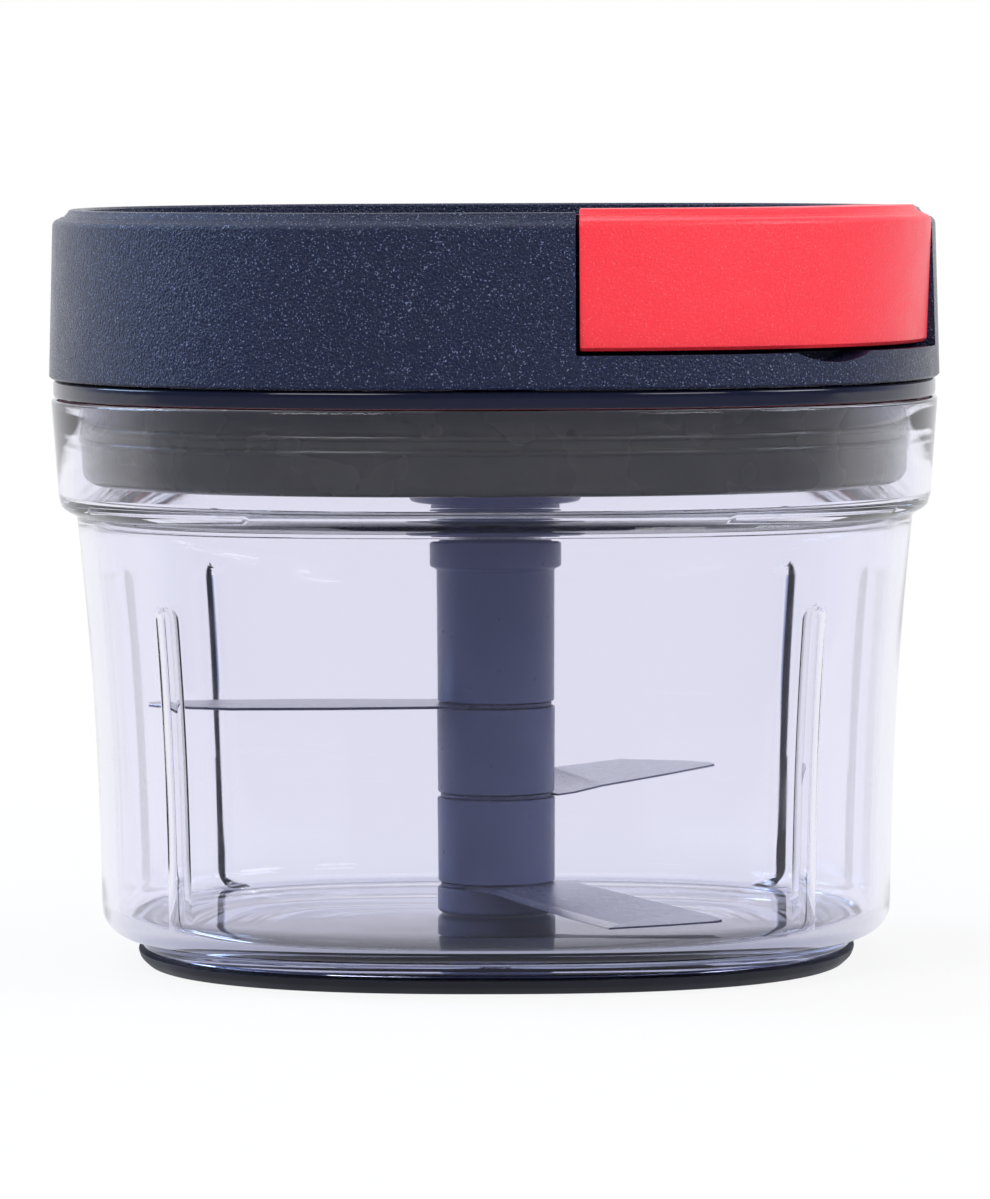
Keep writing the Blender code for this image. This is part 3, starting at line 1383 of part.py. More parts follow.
carrier("bowl_carrier", 0.0, ["anti_slip_foot", "bowl", "bowl_pin"])
carrier(
    "blade_carrier",
    FLOOR_Z,
    [
        "spindle",
        "spindle_bush",
        "column_lower",
        "column_middle",
        "column_upper",
        "column_clip",
        "blade_lower",
        "blade_middle",
        "blade_upper",
    ],
)
carrier(
    "lid_carrier",
    FLANGE_Z,
    [
        "rim_gasket",
        "plug_seal",
        "lid_base",
        "lid_shell",
        "lid_screw_1",
        "lid_screw_2",
        "lid_screw_3",
        "lid_screw_4",
        "cord_eyelet",
        "reel_axle",
        "recoil_spring",
        "cord_lead",
        "hub_bush",
    ],
)
carrier(
    "reel_carrier",
    REEL_Z,
    ["cord_reel", "spring_cover", "cord_winding", "drive_coupler", "hub_circlip"],
)
carrier("handle_carrier", CORD_Z, ["handle_grip", "handle_back", "cord_end", "cord_knot"])
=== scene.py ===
"""Looks for the pull cord food chopper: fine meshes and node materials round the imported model."""

from math import acos, atan2, cos, hypot, inf, pi, radians, sin, sqrt

import bmesh
import bpy
from mathutils import Matrix, Vector


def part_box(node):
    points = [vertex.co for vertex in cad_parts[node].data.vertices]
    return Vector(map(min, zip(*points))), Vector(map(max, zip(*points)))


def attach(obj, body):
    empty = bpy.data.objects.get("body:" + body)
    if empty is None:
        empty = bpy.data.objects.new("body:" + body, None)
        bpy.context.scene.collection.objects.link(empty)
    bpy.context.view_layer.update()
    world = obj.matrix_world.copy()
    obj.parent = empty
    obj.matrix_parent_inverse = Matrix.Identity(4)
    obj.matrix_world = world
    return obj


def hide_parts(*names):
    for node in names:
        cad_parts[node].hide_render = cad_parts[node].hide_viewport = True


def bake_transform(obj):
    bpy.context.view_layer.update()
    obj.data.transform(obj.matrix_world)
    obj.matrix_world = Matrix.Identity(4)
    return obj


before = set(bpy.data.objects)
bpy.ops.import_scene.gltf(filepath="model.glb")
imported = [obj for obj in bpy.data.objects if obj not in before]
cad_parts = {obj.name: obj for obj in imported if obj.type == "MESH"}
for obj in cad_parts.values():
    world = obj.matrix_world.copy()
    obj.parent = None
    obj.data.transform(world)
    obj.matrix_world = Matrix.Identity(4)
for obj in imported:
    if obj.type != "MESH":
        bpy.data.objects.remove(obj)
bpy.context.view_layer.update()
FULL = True

# The photograph's camera, in metres, degrees and pixels, with the sensor in millimetres
IMAGE_WIDTH = 990
IMAGE_HEIGHT = 1199
FOCAL_PX = 7608.7
SENSOR = 36.0
CAMERA_DISTANCE = 1.11613
CAMERA_HEIGHT = 0.12275
CAMERA_SIDE = -0.0001
CAMERA_PITCH = 3.6025
CAMERA_ROLL = -0.1967
OBJECT_TURN = -0.983

# Plan shape, as in the CAD
PLAN_POWER = 2.45
CORNER_SHARE = 2.0 ** (0.5 - 1.0 / PLAN_POWER)
PULL = Vector((1.0, -1.0, 0.0)).normalized()
PULL_ANGLE = -pi / 4

# Fineness
PLAN_STEPS = 288 if FULL else 144
CORNER_STEPS = 96
ROUND_STEPS = 96
SMALL_STEPS = 32
DIP_STEPS = 256
ARC_STEPS = 6
FLUTE_STEPS = 66 if FULL else 14
FLUTE_LEVELS = 10
FLUTE_END_LEVELS = 12
COLLAR_LEVELS = 5
SMOOTH_ANGLE = radians(32)
CORNER_ANGLE = radians(25)

# Gaps, overruns and roundings
CUT_OVERRUN = 0.0020
SEAT_GAP = 0.0003
SEAM_GAP = 0.00015
RUNNING_GAP = 0.0004
EDGE_ROUND = 0.00025
EDGE_PER_ROUNDING = 2.2
FINE_ROUND = 0.00012


def box_of(node):
    low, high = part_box(node)
    return Vector(low), Vector(high)


# Levels and halves that the frame gives
FOOT_HIGH = box_of("anti_slip_foot")[1]
BOWL_LOW, BOWL_HIGH = box_of("bowl")
BASE_LOW, BASE_HIGH = box_of("lid_base")
SEAL_LOW, SEAL_HIGH = box_of("plug_seal")
SHELL_HIGH = box_of("lid_shell")[1]
GASKET_LOW, GASKET_HIGH = box_of("rim_gasket")
GRIP_HIGH = box_of("handle_grip")[1]
COUPLER_LOW, COUPLER_HIGH = box_of("drive_coupler")
LID_HALF = SHELL_HIGH.x
RIM_Z = BOWL_HIGH.z
SKIRT_Z = BOWL_LOW.z
COLLAR_HALF = BOWL_HIGH.x
SHELL_TOP_Z = SHELL_HIGH.z
FLANGE_TOP_Z = BASE_HIGH.z
SHELL_Z = FLANGE_TOP_Z + SEAT_GAP
FLANGE_HALF = BASE_HIGH.x

# Foot and bowl, as in the CAD
FOOT_THICK = 0.0021
FOOT_EDGE = 0.0015
FOOT_RING_WIDTH = 0.0106
FOOT_WEB_THICK = 0.0011
TONGUE_WIDTH = 0.0060
BOWL_WALL = 0.0022
BOWL_FLOOR_THICK = 0.0023
FLOOR_RING_SHARES = (0.6, 0.3)
SKIRT_DROP = 0.0015
SKIRT_INSET = 0.0006
SKIRT_WALL = 0.0027
BODY_BOTTOM_INSET = 0.0072
BODY_TOP_INSET = 0.0039
BODY_BULGE = 0.0007
HEEL_RADIUS = 0.0040
FLOOR_FILLET = 0.0030
COLLAR_TAPER = 0.0010
COLLAR_HEIGHT = 0.0168
COLLAR_FOOT_RISE = 0.0026
RIM_ROUND = 0.0005
SHELF_DEPTH = 0.0144
SHELF_ROUND = 0.0010
BOSS_RADIUS = 0.0056
BOSS_RISE = 0.0012
PIN_HOLE = 0.00215
PIN_HOLE_DEPTH = 0.0012

# Flutes, as in the CAD but for flatter grooves, which trap no light, and softer ribs in front
FLUTE_TOP_BELOW_RIM = 0.0270
FLUTE_RIB_RADIUS = 0.0021
FLUTE_GROOVE_RADIUS = 0.00312
FLUTE_GROOVE_OUTSET = 0.00257
FLUTE_SIDE = 0.0027
FLUTE_FROM_SHARE = 0.8
FLUTE_END_SHARE = 2.2
BACK_GROOVE_SHARE = 0.25
FRONT_RIB_SHARE = 0.4
FLUTE_ANGLES = tuple(radians(angle) for angle in (43.5, 136.5, 223.5, 316.5))

FOOT_HALF = FOOT_HIGH.x
SKIRT_HALF = FOOT_HALF - SKIRT_INSET
SKIRT_INNER = SKIRT_HALF - SKIRT_WALL
COLLAR_LOW_HALF = COLLAR_HALF - COLLAR_TAPER
BODY_TOP_HALF = LID_HALF - BODY_TOP_INSET
BODY_BOTTOM_HALF = LID_HALF - BODY_BOTTOM_INSET
COLLAR_INNER = COLLAR_HALF - BOWL_WALL
COLLAR_LOW_INNER = COLLAR_LOW_HALF - BOWL_WALL
BODY_TOP_INNER = BODY_TOP_HALF - BOWL_WALL
BODY_BOTTOM_INNER = BODY_BOTTOM_HALF - BOWL_WALL
UNDER_Z = SKIRT_Z + SKIRT_DROP
FLOOR_Z = UNDER_Z + BOWL_FLOOR_THICK
COLLAR_Z = RIM_Z - COLLAR_HEIGHT
SHELF_Z = RIM_Z - SHELF_DEPTH
BOSS_Z = FLOOR_Z + BOSS_RISE

# Blade column, as in the CAD
PIN_RADIUS = 0.0020
PIN_POINT = 0.0010
PIN_RISE = 0.0095
COLUMN_RADIUS = 0.0087
COLUMN_LEAN = 0.0001
COLLAR_RING_RADIUS = 0.0097
COLLAR_RING_HEIGHT = 0.0070
COLLAR_RING_DROP = 0.0022
COLUMN_NECK_RADIUS = 0.0083
BASE_CHAMFER = 0.0006
CORE_ACROSS = 0.0090
CORE_GAP = 0.0003
HEX_HOLE = CORE_ACROSS + 2 * CORE_GAP
CORE_TOP_GAP = 0.0010
SPINDLE_LIFT = 0.0008
BUSH_WALL = 0.0008
BUSH_HEIGHT = 0.0070
CLIP_HEIGHT = 0.0010
BLADE_THICK = 0.0005
BLADE_TIP_GAP = 0.0056
BLADE_GRIND = 0.0024
GRIND_MOST_SHARE = 0.5
SIDE_NORMAL = 0.5
HUB_IN_COLUMN = 0.0005
BLADE_SECTIONS = 160
EDGE_THICK = 0.00006
EDGE_LAND = 0.00028
BLADE_ROUND = 0.00005
TOOTH_PITCH = 0.0013
TOOTH_DEPTH = 0.00028
TEETH_SHARES = (0.22, 0.75)
BLADE_REACH = BODY_BOTTOM_INNER - BLADE_TIP_GAP
LOWER_BLADE_RISE = 0.0043
MIDDLE_BLADE_RISE = 0.0175
UPPER_BLADE_RISE = 0.0309
LOWER_BLADE_ANGLE = -47.4
MIDDLE_BLADE_ANGLE = 48.6
UPPER_BLADE_ANGLE = 187.6

# Blade outlines: reach, edge, back, lift of the edge and lift of the back, each as a share of
# BLADE_REACH, as in the CAD
LOWER_BLADE_SHARES = (
    (0.06, -0.184, 0.165, 0.0, 0.0),
    (0.19, -0.197, 0.155, 0.0, 0.0),
    (0.55, -0.227, 0.115, -0.045, -0.025),
    (0.753, -0.243, 0.085, -0.062, -0.038),
    (0.87, -0.098, 0.055, -0.052, -0.042),
    (0.948, -0.002, 0.012, -0.044, -0.043),
)
MIDDLE_BLADE_SHARES = (
    (0.10, -0.157, 0.157, 0.0, 0.0),
    (0.19, -0.141, 0.125, 0.0, 0.0),
    (0.344, -0.115, 0.076, 0.008, 0.048),
    (0.676, -0.057, 0.106, 0.013, 0.049),
    (0.94, -0.010, 0.055, 0.018, 0.029),
    (1.0, -0.002, 0.016, 0.020, 0.022),
)
UPPER_BLADE_SHARES = (
    (0.10, -0.165, 0.165, 0.0, 0.0),
    (0.19, -0.161, 0.161, 0.0, 0.0),
    (0.50, -0.140, 0.155, 0.006, 0.0),
    (0.80, -0.125, 0.135, 0.008, 0.001),
    (0.97, -0.080, 0.065, 0.010, 0.003),
    (1.03, -0.030, 0.010, 0.010, 0.005),
)

# Lid, as in the CAD
FLANGE_ROUND = 0.0005
LIP_WALL = 0.0005
GASKET_WIDTH = 0.0027
SEAL_GAP = 0.0004
SEAL_WALL = 0.0026
SEAL_LIP = 0.0008
SEAL_LIP_HEIGHT = 0.0028
SEAL_RIDGE = 0.0004
SEAL_RIDGE_PITCH = 0.0020
SEAL_RIDGES = 2
SEAL_CORNER = 0.0022
SEAL_TAPER = 0.0006
SEAL_TURN_IN = 0.0048
SEAL_TURN_THICK = 0.0008
BASE_WALL = 0.0023
BASE_FLOOR_THICK = 0.0023
SHELL_WALL = 0.0026
SHELL_TAPER = 0.0006
SHOULDER_DROP = 0.0024
SHOULDER_WIDTH = 0.0011
LEDGE_WIDTH = 0.0006
RIM_RISE = 0.0011
RIM_SLOPE = 0.0006
RIM_EDGE = 0.0003
RIM_WIDTH = 0.0017
DECK_DROP = 0.0028
DECK_THICK = 0.0022
DECK_FILLET = 0.0008
HANDLE_START = 0.0128
HANDLE_END_MORE = 0.0048
HANDLE_DEPTH = 0.0116
HANDLE_WALL = 0.0020
HANDLE_SIDE_GAP = 0.0005
HANDLE_BACK_GAP = 0.0005
HANDLE_UNDER_GAP = 0.0006
HANDLE_EDGE = 0.0005
RECESS_FLOOR_RISE = 0.0046
RECESS_WALL = 0.0020
RECESS_RIM_DROP = 0.0004
SCALLOP_DEPTH = 0.0014
SCALLOP_WIDTH = 0.0150
HANDLE_PLATE_THICK = 0.0018
POST_TO_WALL = 0.0030
BOSS_TUBE_WALL = 0.0010
BOSS_TUBE_TOP = 0.0018
BOSS_TUBE_HEIGHT = 0.0068
SCREW_HEAD_RADIUS = 0.0030
SCREW_HEAD_HEIGHT = 0.0022
SCREW_EDGE_SHARE = 0.7
SCREW_SHANK_RADIUS = 0.0014
SCREW_SHANK_LENGTH = 0.0140
SCREW_SLOT_ACROSS = 0.0026
SCREW_SLOT_DEPTH = 0.0010
SCREW_ANGLES = tuple(radians(angle) for angle in (0.0, 90.0, 180.0, 270.0))

# Drive coupler and hub, as in the CAD
COUPLER_FLANGE_RADIUS = 0.0132
COUPLER_FLANGE_THICK = 0.0029
COUPLER_FLANGE_GAP = 0.0005
COUPLER_STEP_RADIUS = 0.0095
COUPLER_BARREL_RADIUS = 0.0085
COUPLER_SHAFT_RADIUS = 0.0062
SOCKET_DEPTH = 0.0095
TANG_ACROSS = 0.0080
TANG_HEIGHT = 0.0022
HUB_BUSH_WALL = 0.0017
HUB_BUSH_FLANGE_THICK = 0.0010
HUB_BUSH_HEIGHT = 0.0054
HUB_BOSS_WALL = 0.0031
CIRCLIP_THICK = 0.0008
CIRCLIP_GROOVE_DEPTH = 0.0008

# Cord and eyelet, as in the CAD
WIND_RADIUS = 0.0212
CORD_RADIUS = 0.0009
CORD_LEAD_GAP = 0.0100
CORD_BEND_BACK = 0.0040
CORD_BEND_ON = 0.0016
EYELET_BORE_GAP = 0.0004
EYELET_WALL = 0.0009
EYELET_FLANGE = 0.0016
EYELET_FLANGE_THICK = 0.0009
STRANDS = 8
STRAND_SHARE = 0.10
STRAND_PITCH = 0.0040
CORD_SIDES = 48
CORD_LEAD_STEPS = 24
CORD_BEND_STEPS = 12
CORD_RUN_STEPS = 60

SEAL_HALF = COLLAR_INNER - SEAL_GAP - SEAL_LIP
PLUG_HALF = SEAL_HALF - SEAL_WALL
BASE_INNER = PLUG_HALF - BASE_WALL
POST_DISTANCE = BASE_INNER - SCREW_HEAD_RADIUS - BOSS_TUBE_WALL - POST_TO_WALL
BASE_FLOOR_Z = BASE_LOW.z + BASE_FLOOR_THICK
BOSS_TUBE_Z = BASE_FLOOR_Z + BOSS_TUBE_HEIGHT
SHELL_TOP_HALF = LID_HALF - SHELL_TAPER
HANDLE_BACK_HALF = LID_HALF - HANDLE_DEPTH
RECESS_HALF = HANDLE_BACK_HALF - HANDLE_BACK_GAP
RECESS_INNER_HALF = RECESS_HALF - RECESS_WALL
DECK_Z = SHELL_TOP_Z - DECK_DROP
DECK_UNDER_Z = DECK_Z - DECK_THICK
RECESS_Z = SHELL_Z + RECESS_FLOOR_RISE
CORD_Z = sum(corner.z for corner in box_of("cord_end")) / 2


def reshade(piece):
    piece.data.shade_smooth()
    piece.data.set_sharp_from_angle(angle=SMOOTH_ANGLE)
    return piece


def mesh_piece(name, bm, look=None):
    """A shown piece if it has a look, and otherwise one that is used up in a cut or a join."""
    bmesh.ops.recalc_face_normals(bm, faces=bm.faces)
    mesh = bpy.data.meshes.new(name)
    bm.to_mesh(mesh)
    bm.free()
    if look:
        mesh.materials.append(look)
    made = bpy.data.objects.new(name, mesh)
    bpy.context.scene.collection.objects.link(made)
    return reshade(made)


def change(piece, kind, **settings):
    """Applies one modifier to the mesh of a piece."""
    step = piece.modifiers.new(kind, kind)
    for key, value in settings.items():
        setattr(step, key, value)
    bpy.context.view_layer.update()
    graph = bpy.context.evaluated_depsgraph_get()
    mesh = bpy.data.meshes.new_from_object(piece.evaluated_get(graph))
    piece.modifiers.clear()
    piece.data = mesh


def cut(piece, other, operation="DIFFERENCE"):
    """Cuts another solid out of a piece and uses it up."""
    change(piece, "BOOLEAN", operation=operation, object=other, solver="EXACT")
    bpy.data.objects.remove(other, do_unlink=True)


def join(piece, other):
    cut(piece, other, "UNION")


def soften(piece, segments=2, angle=50.0):
    """Rounds the edges of a piece that are sharper than the angle."""
    limit = {"limit_method": "ANGLE", "angle_limit": radians(angle)}
    change(piece, "BEVEL", width=EDGE_ROUND, segments=segments, **limit)
    reshade(piece)


def carry(piece, body, node):
    """Puts a piece on its body, in place of a node."""
    reshade(piece)
    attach(piece, body)
    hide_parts(node)


def arc(centre, radius, start, end, steps=ARC_STEPS):
    points = []
    for step in range(steps + 1):
        turn = radians(start + (end - start) * step / steps)
        points.append((centre[0] + radius * cos(turn), centre[1] + radius * sin(turn)))
    return points


def tier(half, first, last):
    """Two points of a profile, one above the other."""
    return [(half, first), (half, last)]


def rectangle(inner, outer, low, high):
    return [(inner, low), (outer, low), (outer, high), (inner, high)]


def rounded(profile, radius=EDGE_ROUND, steps=3):
    """A closed profile with each sharp corner rounded off, but for those on the axis."""
    points = [Vector(point) for point in profile]
    made = []
    for number, point in enumerate(points):
        before = points[number - 1] - point
        after = points[(number + 1) % len(points)] - point
        plain = point.x == 0.0 or before.length == 0.0 or after.length == 0.0
        if plain or pi - before.angle(after) < CORNER_ANGLE:
            made.append(tuple(point))
            continue
        reach = min(radius, before.length / EDGE_PER_ROUNDING, after.length / EDGE_PER_ROUNDING)
        first = point + before.normalized() * reach
        last = point + after.normalized() * reach
        for step in range(steps + 1):
            share = step / steps
            made.append(tuple(first.lerp(point, share).lerp(point.lerp(last, share), share)))
    return made


def plan_radius(half, angle):
    across = abs(cos(angle)) ** PLAN_POWER
    along = abs(sin(angle)) ** PLAN_POWER
    return half / (across + along) ** (1.0 / PLAN_POWER)


def even_angles(count):
    return [2 * pi * step / count for step in range(count)]


def fill_between(bm, rings):
    """Faces between each ring of points and the next one."""
    for ring, above in zip(rings, rings[1:]):
        for step in range(len(ring)):
            after = (step + 1) % len(ring)
            corners = [ring[step], ring[after], above[after], above[step]]
            bm.faces.new(list(dict.fromkeys(corners)))


def plan_sweep(name, profile, look=None, round_inside=0.0, angles=None, shift=None):
    """Carries a closed profile of (half, level) points round the plan, and round a circle up to
    the half round_inside. A shift moves points in or out by what it gives for their number in
    the profile, angle, level and reach."""
    angles = angles or even_angles(PLAN_STEPS)
    count = len(angles)
    bm = bmesh.new()
    rings = []
    for number, (half, level) in enumerate(profile):
        if half == 0.0:
            rings.append([bm.verts.new((0.0, 0.0, level))] * count)
            continue
        ring = []
        for angle in angles:
            reach = half if half <= round_inside else plan_radius(half, angle)
            if shift:
                reach += shift(number, angle, level, reach)
            ring.append(bm.verts.new((reach * cos(angle), reach * sin(angle), level)))
        rings.append(ring)
    if profile[0][0] > 0.0:
        rings.append(rings[0])
    fill_between(bm, rings)
    return mesh_piece(name, bm, look)


def turned(name, outline, look=None, steps=ROUND_STEPS):
    """A closed outline of (radius, level) points turned about Z."""
    return plan_sweep(name, outline, look, inf, even_angles(steps))


def side_at(half, across):
    """How far out the plan's side lies, this far from its middle."""
    return half * (1.0 - (across / half) ** PLAN_POWER) ** (1.0 / PLAN_POWER)


def corner_arc(half, start):
    """Points along the plan round its front right corner, from this far right of the middle."""
    end = start + HANDLE_END_MORE
    first = atan2(-side_at(half, start), start)
    last = atan2(-end, side_at(half, end))
    points = []
    for step in range(CORNER_STEPS + 1):
        angle = first + (last - first) * step / CORNER_STEPS
        reach = plan_radius(half, angle)
        points.append((reach * cos(angle), reach * sin(angle)))
    return points


def corner_loft(name, profile, start, look=None):
    """Carries a closed profile round the front right corner between two flat ends."""
    bm = bmesh.new()
    rows = []
    for half, level in profile:
        rows.append([bm.verts.new((x, y, level)) for x, y in corner_arc(half, start)])
    for row, above in zip(rows, rows[1:] + rows[:1]):
        for step in range(CORNER_STEPS):
            bm.faces.new((row[step], row[step + 1], above[step + 1], above[step]))
    bm.faces.new([row[0] for row in rows])
    bm.faces.new([row[-1] for row in rows])
    return mesh_piece(name, bm, look)


def prism(name, sides, radius, low, high, place=(0.0, 0.0)):
    bm = bmesh.new()
    bmesh.ops.create_cone(
        bm, cap_ends=True, segments=sides, radius1=radius, radius2=radius, depth=high - low
    )
    bmesh.ops.translate(bm, verts=bm.verts, vec=(*place, (low + high) / 2))
    return mesh_piece(name, bm)


def hexagon(name, across, low, high):
    return prism(name, 6, across / sqrt(3.0), low, high)


# Materials


def add_node(tree, kind, inputs, **settings):
    """A new node. Each input gets a value, or is linked to the output of another node."""
    made = tree.nodes.new(kind)
    for key, value in settings.items():
        setattr(made, key, value)
    for socket, value in inputs.items():
        if isinstance(value, bpy.types.NodeSocket):
            tree.links.new(value, made.inputs[socket])
        else:
            made.inputs[socket].default_value = value
    return made


def map_range(tree, value, low, high, to_low=0.0, to_high=1.0):
    """The value, moved from one range to another and kept in it."""
    inputs = {"Value": value, "From Min": low, "From Max": high, "To Min": to_low, "To Max": to_high}
    return add_node(tree, "ShaderNodeMapRange", inputs).outputs["Result"]


def calculate(tree, operation, first, second):
    made = add_node(tree, "ShaderNodeMath", {0: first, 1: second}, operation=operation)
    return made.outputs["Value"]


def coordinate(tree, place, axis):
    return add_node(tree, "ShaderNodeSeparateXYZ", {"Vector": place}).outputs[axis]


def colour_ramp(tree, value, stops):
    """The colour that a row of (position, colour) stops gives for the value."""
    ramp = add_node(tree, "ShaderNodeValToRGB", {"Fac": value})
    elements = ramp.color_ramp.elements
    while len(elements) < len(stops):
        elements.new(0.5)
    for element, (position, colour) in zip(elements, stops):
        element.position = position
        element.color = (*colour, 1.0)
    return ramp.outputs["Color"]


# Most of a noise lies between these values, and its peaks above them make bright specks painted as
# glints
NOISE_LOW = 0.3
NOISE_HIGH = 0.7
GLINT_SPECKS_START = 0.645
GLINT_SPECKS_FULL = 0.71


class Look:
    """A Principled material with a few shorthands for its nodes."""

    def __init__(self, name, colour, roughness, **values):
        self.material = bpy.data.materials.new(name)
        self.material.use_nodes = True
        self.tree = self.material.node_tree
        self.shader = self.tree.nodes["Principled BSDF"]
        self.colour = colour
        self.roughness = roughness
        self.shader.inputs["Base Color"].default_value = (*colour, 1.0)
        self.shader.inputs["Roughness"].default_value = roughness
        for socket, value in values.items():
            self.shader.inputs[socket.replace("_", " ")].default_value = value
        self.place = add_node(self.tree, "ShaderNodeTexCoord", {}).outputs["Object"]
        self.height = None

    def feed(self, value, socket):
        self.tree.links.new(value, self.shader.inputs[socket])

    def stretched(self, scale, turn):
        """The object's coordinates, turned about Z and then divided by the scale."""
        inputs = {"Vector": self.place, "Scale": scale, "Rotation": (0.0, 0.0, turn)}
        return add_node(self.tree, "ShaderNodeMapping", inputs, vector_type="TEXTURE").outputs["Vector"]

    def noise(self, grain, detail=2.0, place=None, roughness=0.5):
        """Noise whose grains are about this many metres wide."""
        inputs = {"Scale": 1.0 / grain, "Detail": detail, "Roughness": roughness}
        inputs["Vector"] = place or self.place
        return add_node(self.tree, "ShaderNodeTexNoise", inputs).outputs["Fac"]

    def rough(self, value, less, more):
        """Varies the roughness between so much less and so much more than its own."""
        low = self.roughness - less
        high = self.roughness + more
        self.feed(map_range(self.tree, value, NOISE_LOW, NOISE_HIGH, low, high), "Roughness")

    def colours(self, value, stops):
        """Sets the base colour from a value by a ramp of (position, colour) stops."""
        self.feed(colour_ramp(self.tree, value, stops), "Base Color")

    def darker(self, share):
        return tuple(part * (1.0 - share) for part in self.colour)

    def shade(self, value, share):
        """Varies the base colour from this share darker up to itself."""
        self.colours(value, [(NOISE_LOW, self.darker(share)), (NOISE_HIGH, self.colour)])

    def bump(self, value, depth):
        """Raises the surface by this many metres where the value is 1."""
        inputs = {"Strength": 1.0, "Distance": depth, "Height": value}
        if self.height:
            inputs["Normal"] = self.height
        self.height = add_node(self.tree, "ShaderNodeBump", inputs).outputs["Normal"]
        self.feed(self.height, "Normal")


# Widths and depths of the surfaces' grain
WALL_GRAIN = 0.030
WALL_WAVE = 0.0001
HAZE_GRAIN = 0.006
FLOW_GRAIN = 0.012
FLOW_WAVE = 0.00008
GLOSS_GRAIN = 0.0012
GLOSS_WAVE = 0.00002
RUBBER_GRAIN = 0.0005
RUBBER_PITS = 0.000003
RUBBER_FLOW = 0.008
BRUSH_GRAIN = 0.008
BRUSH_DEPTH = 0.00002
BRUSH_SHARE = 0.02
PIT_GRAIN = 0.0006
PIT_DEPTH = 0.000005
FUZZ_GRAIN = 0.0002
FUZZ_DEPTH = 0.00006


def grained_plastic(name, colour, roughness, grain, depth, painted_glint, shade, specular):
    """Moulded plastic with an etched grain, and bright specks painted into its colour as glints."""
    look = Look(name, colour, roughness, Specular_IOR_Level=specular)
    look.bump(look.noise(grain, roughness=0.55), depth)
    look.bump(look.noise(grain / 3), depth / 4)
    look.rough(look.noise(14 * grain), 0.04, 0.05)
    # A darker tone at random, and at the noise's peaks the painted glint colour
    stops = [(NOISE_LOW, look.darker(shade)), (0.5, colour)]
    stops += [(GLINT_SPECKS_START, colour), (GLINT_SPECKS_FULL, painted_glint)]
    look.colours(look.noise(0.65 * grain, 1.0), stops)
    return look.material


def plain_plastic(name, colour, roughness, **values):
    """Smooth moulded plastic: faint flow ripples and uneven gloss."""
    look = Look(name, colour, roughness, **values)
    slow = look.noise(FLOW_GRAIN)
    fine = look.noise(GLOSS_GRAIN, 3.0)
    look.bump(slow, FLOW_WAVE)
    look.bump(fine, GLOSS_WAVE)
    look.rough(fine, roughness / 5, roughness / 5)
    look.shade(slow, 0.10)
    return look.material


def clear_plastic():
    """Tinted clear plastic, darker in the rim that holds the foot."""
    look = Look("clear_plastic", CLEAR, 0.02, IOR=1.45, Transmission_Weight=1.0)
    look.bump(look.noise(WALL_GRAIN, 1.0), WALL_WAVE)
    look.rough(look.noise(HAZE_GRAIN, 4.0), 0.010, 0.015)
    level = coordinate(look.tree, look.place, "Z")
    heel = map_range(look.tree, level, SKIRT_TINT_LOW, SKIRT_TINT_HIGH)
    look.colours(heel, [(0.0, CLEAR_SKIRT), (1.0, CLEAR)])
    return look.material


def rubber(name, colour, roughness, **values):
    look = Look(name, colour, roughness, **values)
    look.bump(look.noise(RUBBER_GRAIN, 4.0), RUBBER_PITS)
    slow = look.noise(RUBBER_FLOW)
    look.rough(slow, 0.06, 0.06)
    look.shade(slow, 0.2)
    return look.material


def brushed_steel(name, colour, roughness, turn=None):
    """Steel with fine brush lines in one direction of the plan, or up and down without a turn."""
    look = Look(name, colour, roughness, Metallic=1.0)
    stretch = (BRUSH_SHARE, BRUSH_SHARE, 1.0) if turn is None else (1.0, BRUSH_SHARE, BRUSH_SHARE)
    lines = look.noise(BRUSH_GRAIN, 3.0, look.stretched(stretch, turn or 0.0), roughness=0.7)
    look.bump(lines, BRUSH_DEPTH)
    look.bump(look.noise(PIT_GRAIN), PIT_DEPTH)
    look.rough(lines, 0.06, 0.12)
    look.shade(lines, 0.25)
    return look.material


def braided_cord(name, colour):
    look = Look(name, colour, 0.85, Sheen_Weight=0.4)
    fuzz = look.noise(FUZZ_GRAIN, 3.0)
    look.bump(fuzz, FUZZ_DEPTH)
    look.shade(fuzz, 0.3)
    return look.material


CLEAR = (0.935, 0.931, 0.998)
CLEAR_SKIRT = (0.33, 0.36, 0.55)
SKIRT_TINT_LOW = 0.0044
SKIRT_TINT_HIGH = 0.0052
NAVY = (0.007, 0.012, 0.041)
# Colour of the glints painted on the navy grain's specks
NAVY_PAINTED_GLINT = (0.150, 0.185, 0.300)
GLOSS_NAVY = (0.007, 0.009, 0.024)
CORAL = (0.955, 0.032, 0.048)
# Colour of the glints painted on the coral grain's specks
CORAL_PAINTED_GLINT = (0.97, 0.110, 0.130)
SLATE = (0.150, 0.170, 0.300)
REEL_GREY = (0.10, 0.10, 0.13)
NATURAL_NYLON = (0.72, 0.72, 0.69)
OLIVE_GREY = (0.112, 0.108, 0.076)
DARK_RED = (0.30, 0.008, 0.020)
FOOT_DARK = (0.005, 0.006, 0.014)
BLADE_STEEL = (0.80, 0.80, 0.85)
# A darker copy of the blade steel for the lower blade, as painted shade
LOWER_BLADE_SHADED_STEEL = (0.66, 0.67, 0.74)
GROUND_STEEL = (0.97, 0.97, 0.98)
# A rougher steel darkened as painted shade, for the blades' upright faces
EDGE_SHADE_STEEL = (0.13, 0.14, 0.22)
TURNED_STEEL = (0.58, 0.58, 0.61)
SPRING_STEEL = (0.42, 0.43, 0.47)
BRASS = (0.72, 0.50, 0.20)
CORD_WHITE = (0.66, 0.66, 0.63)

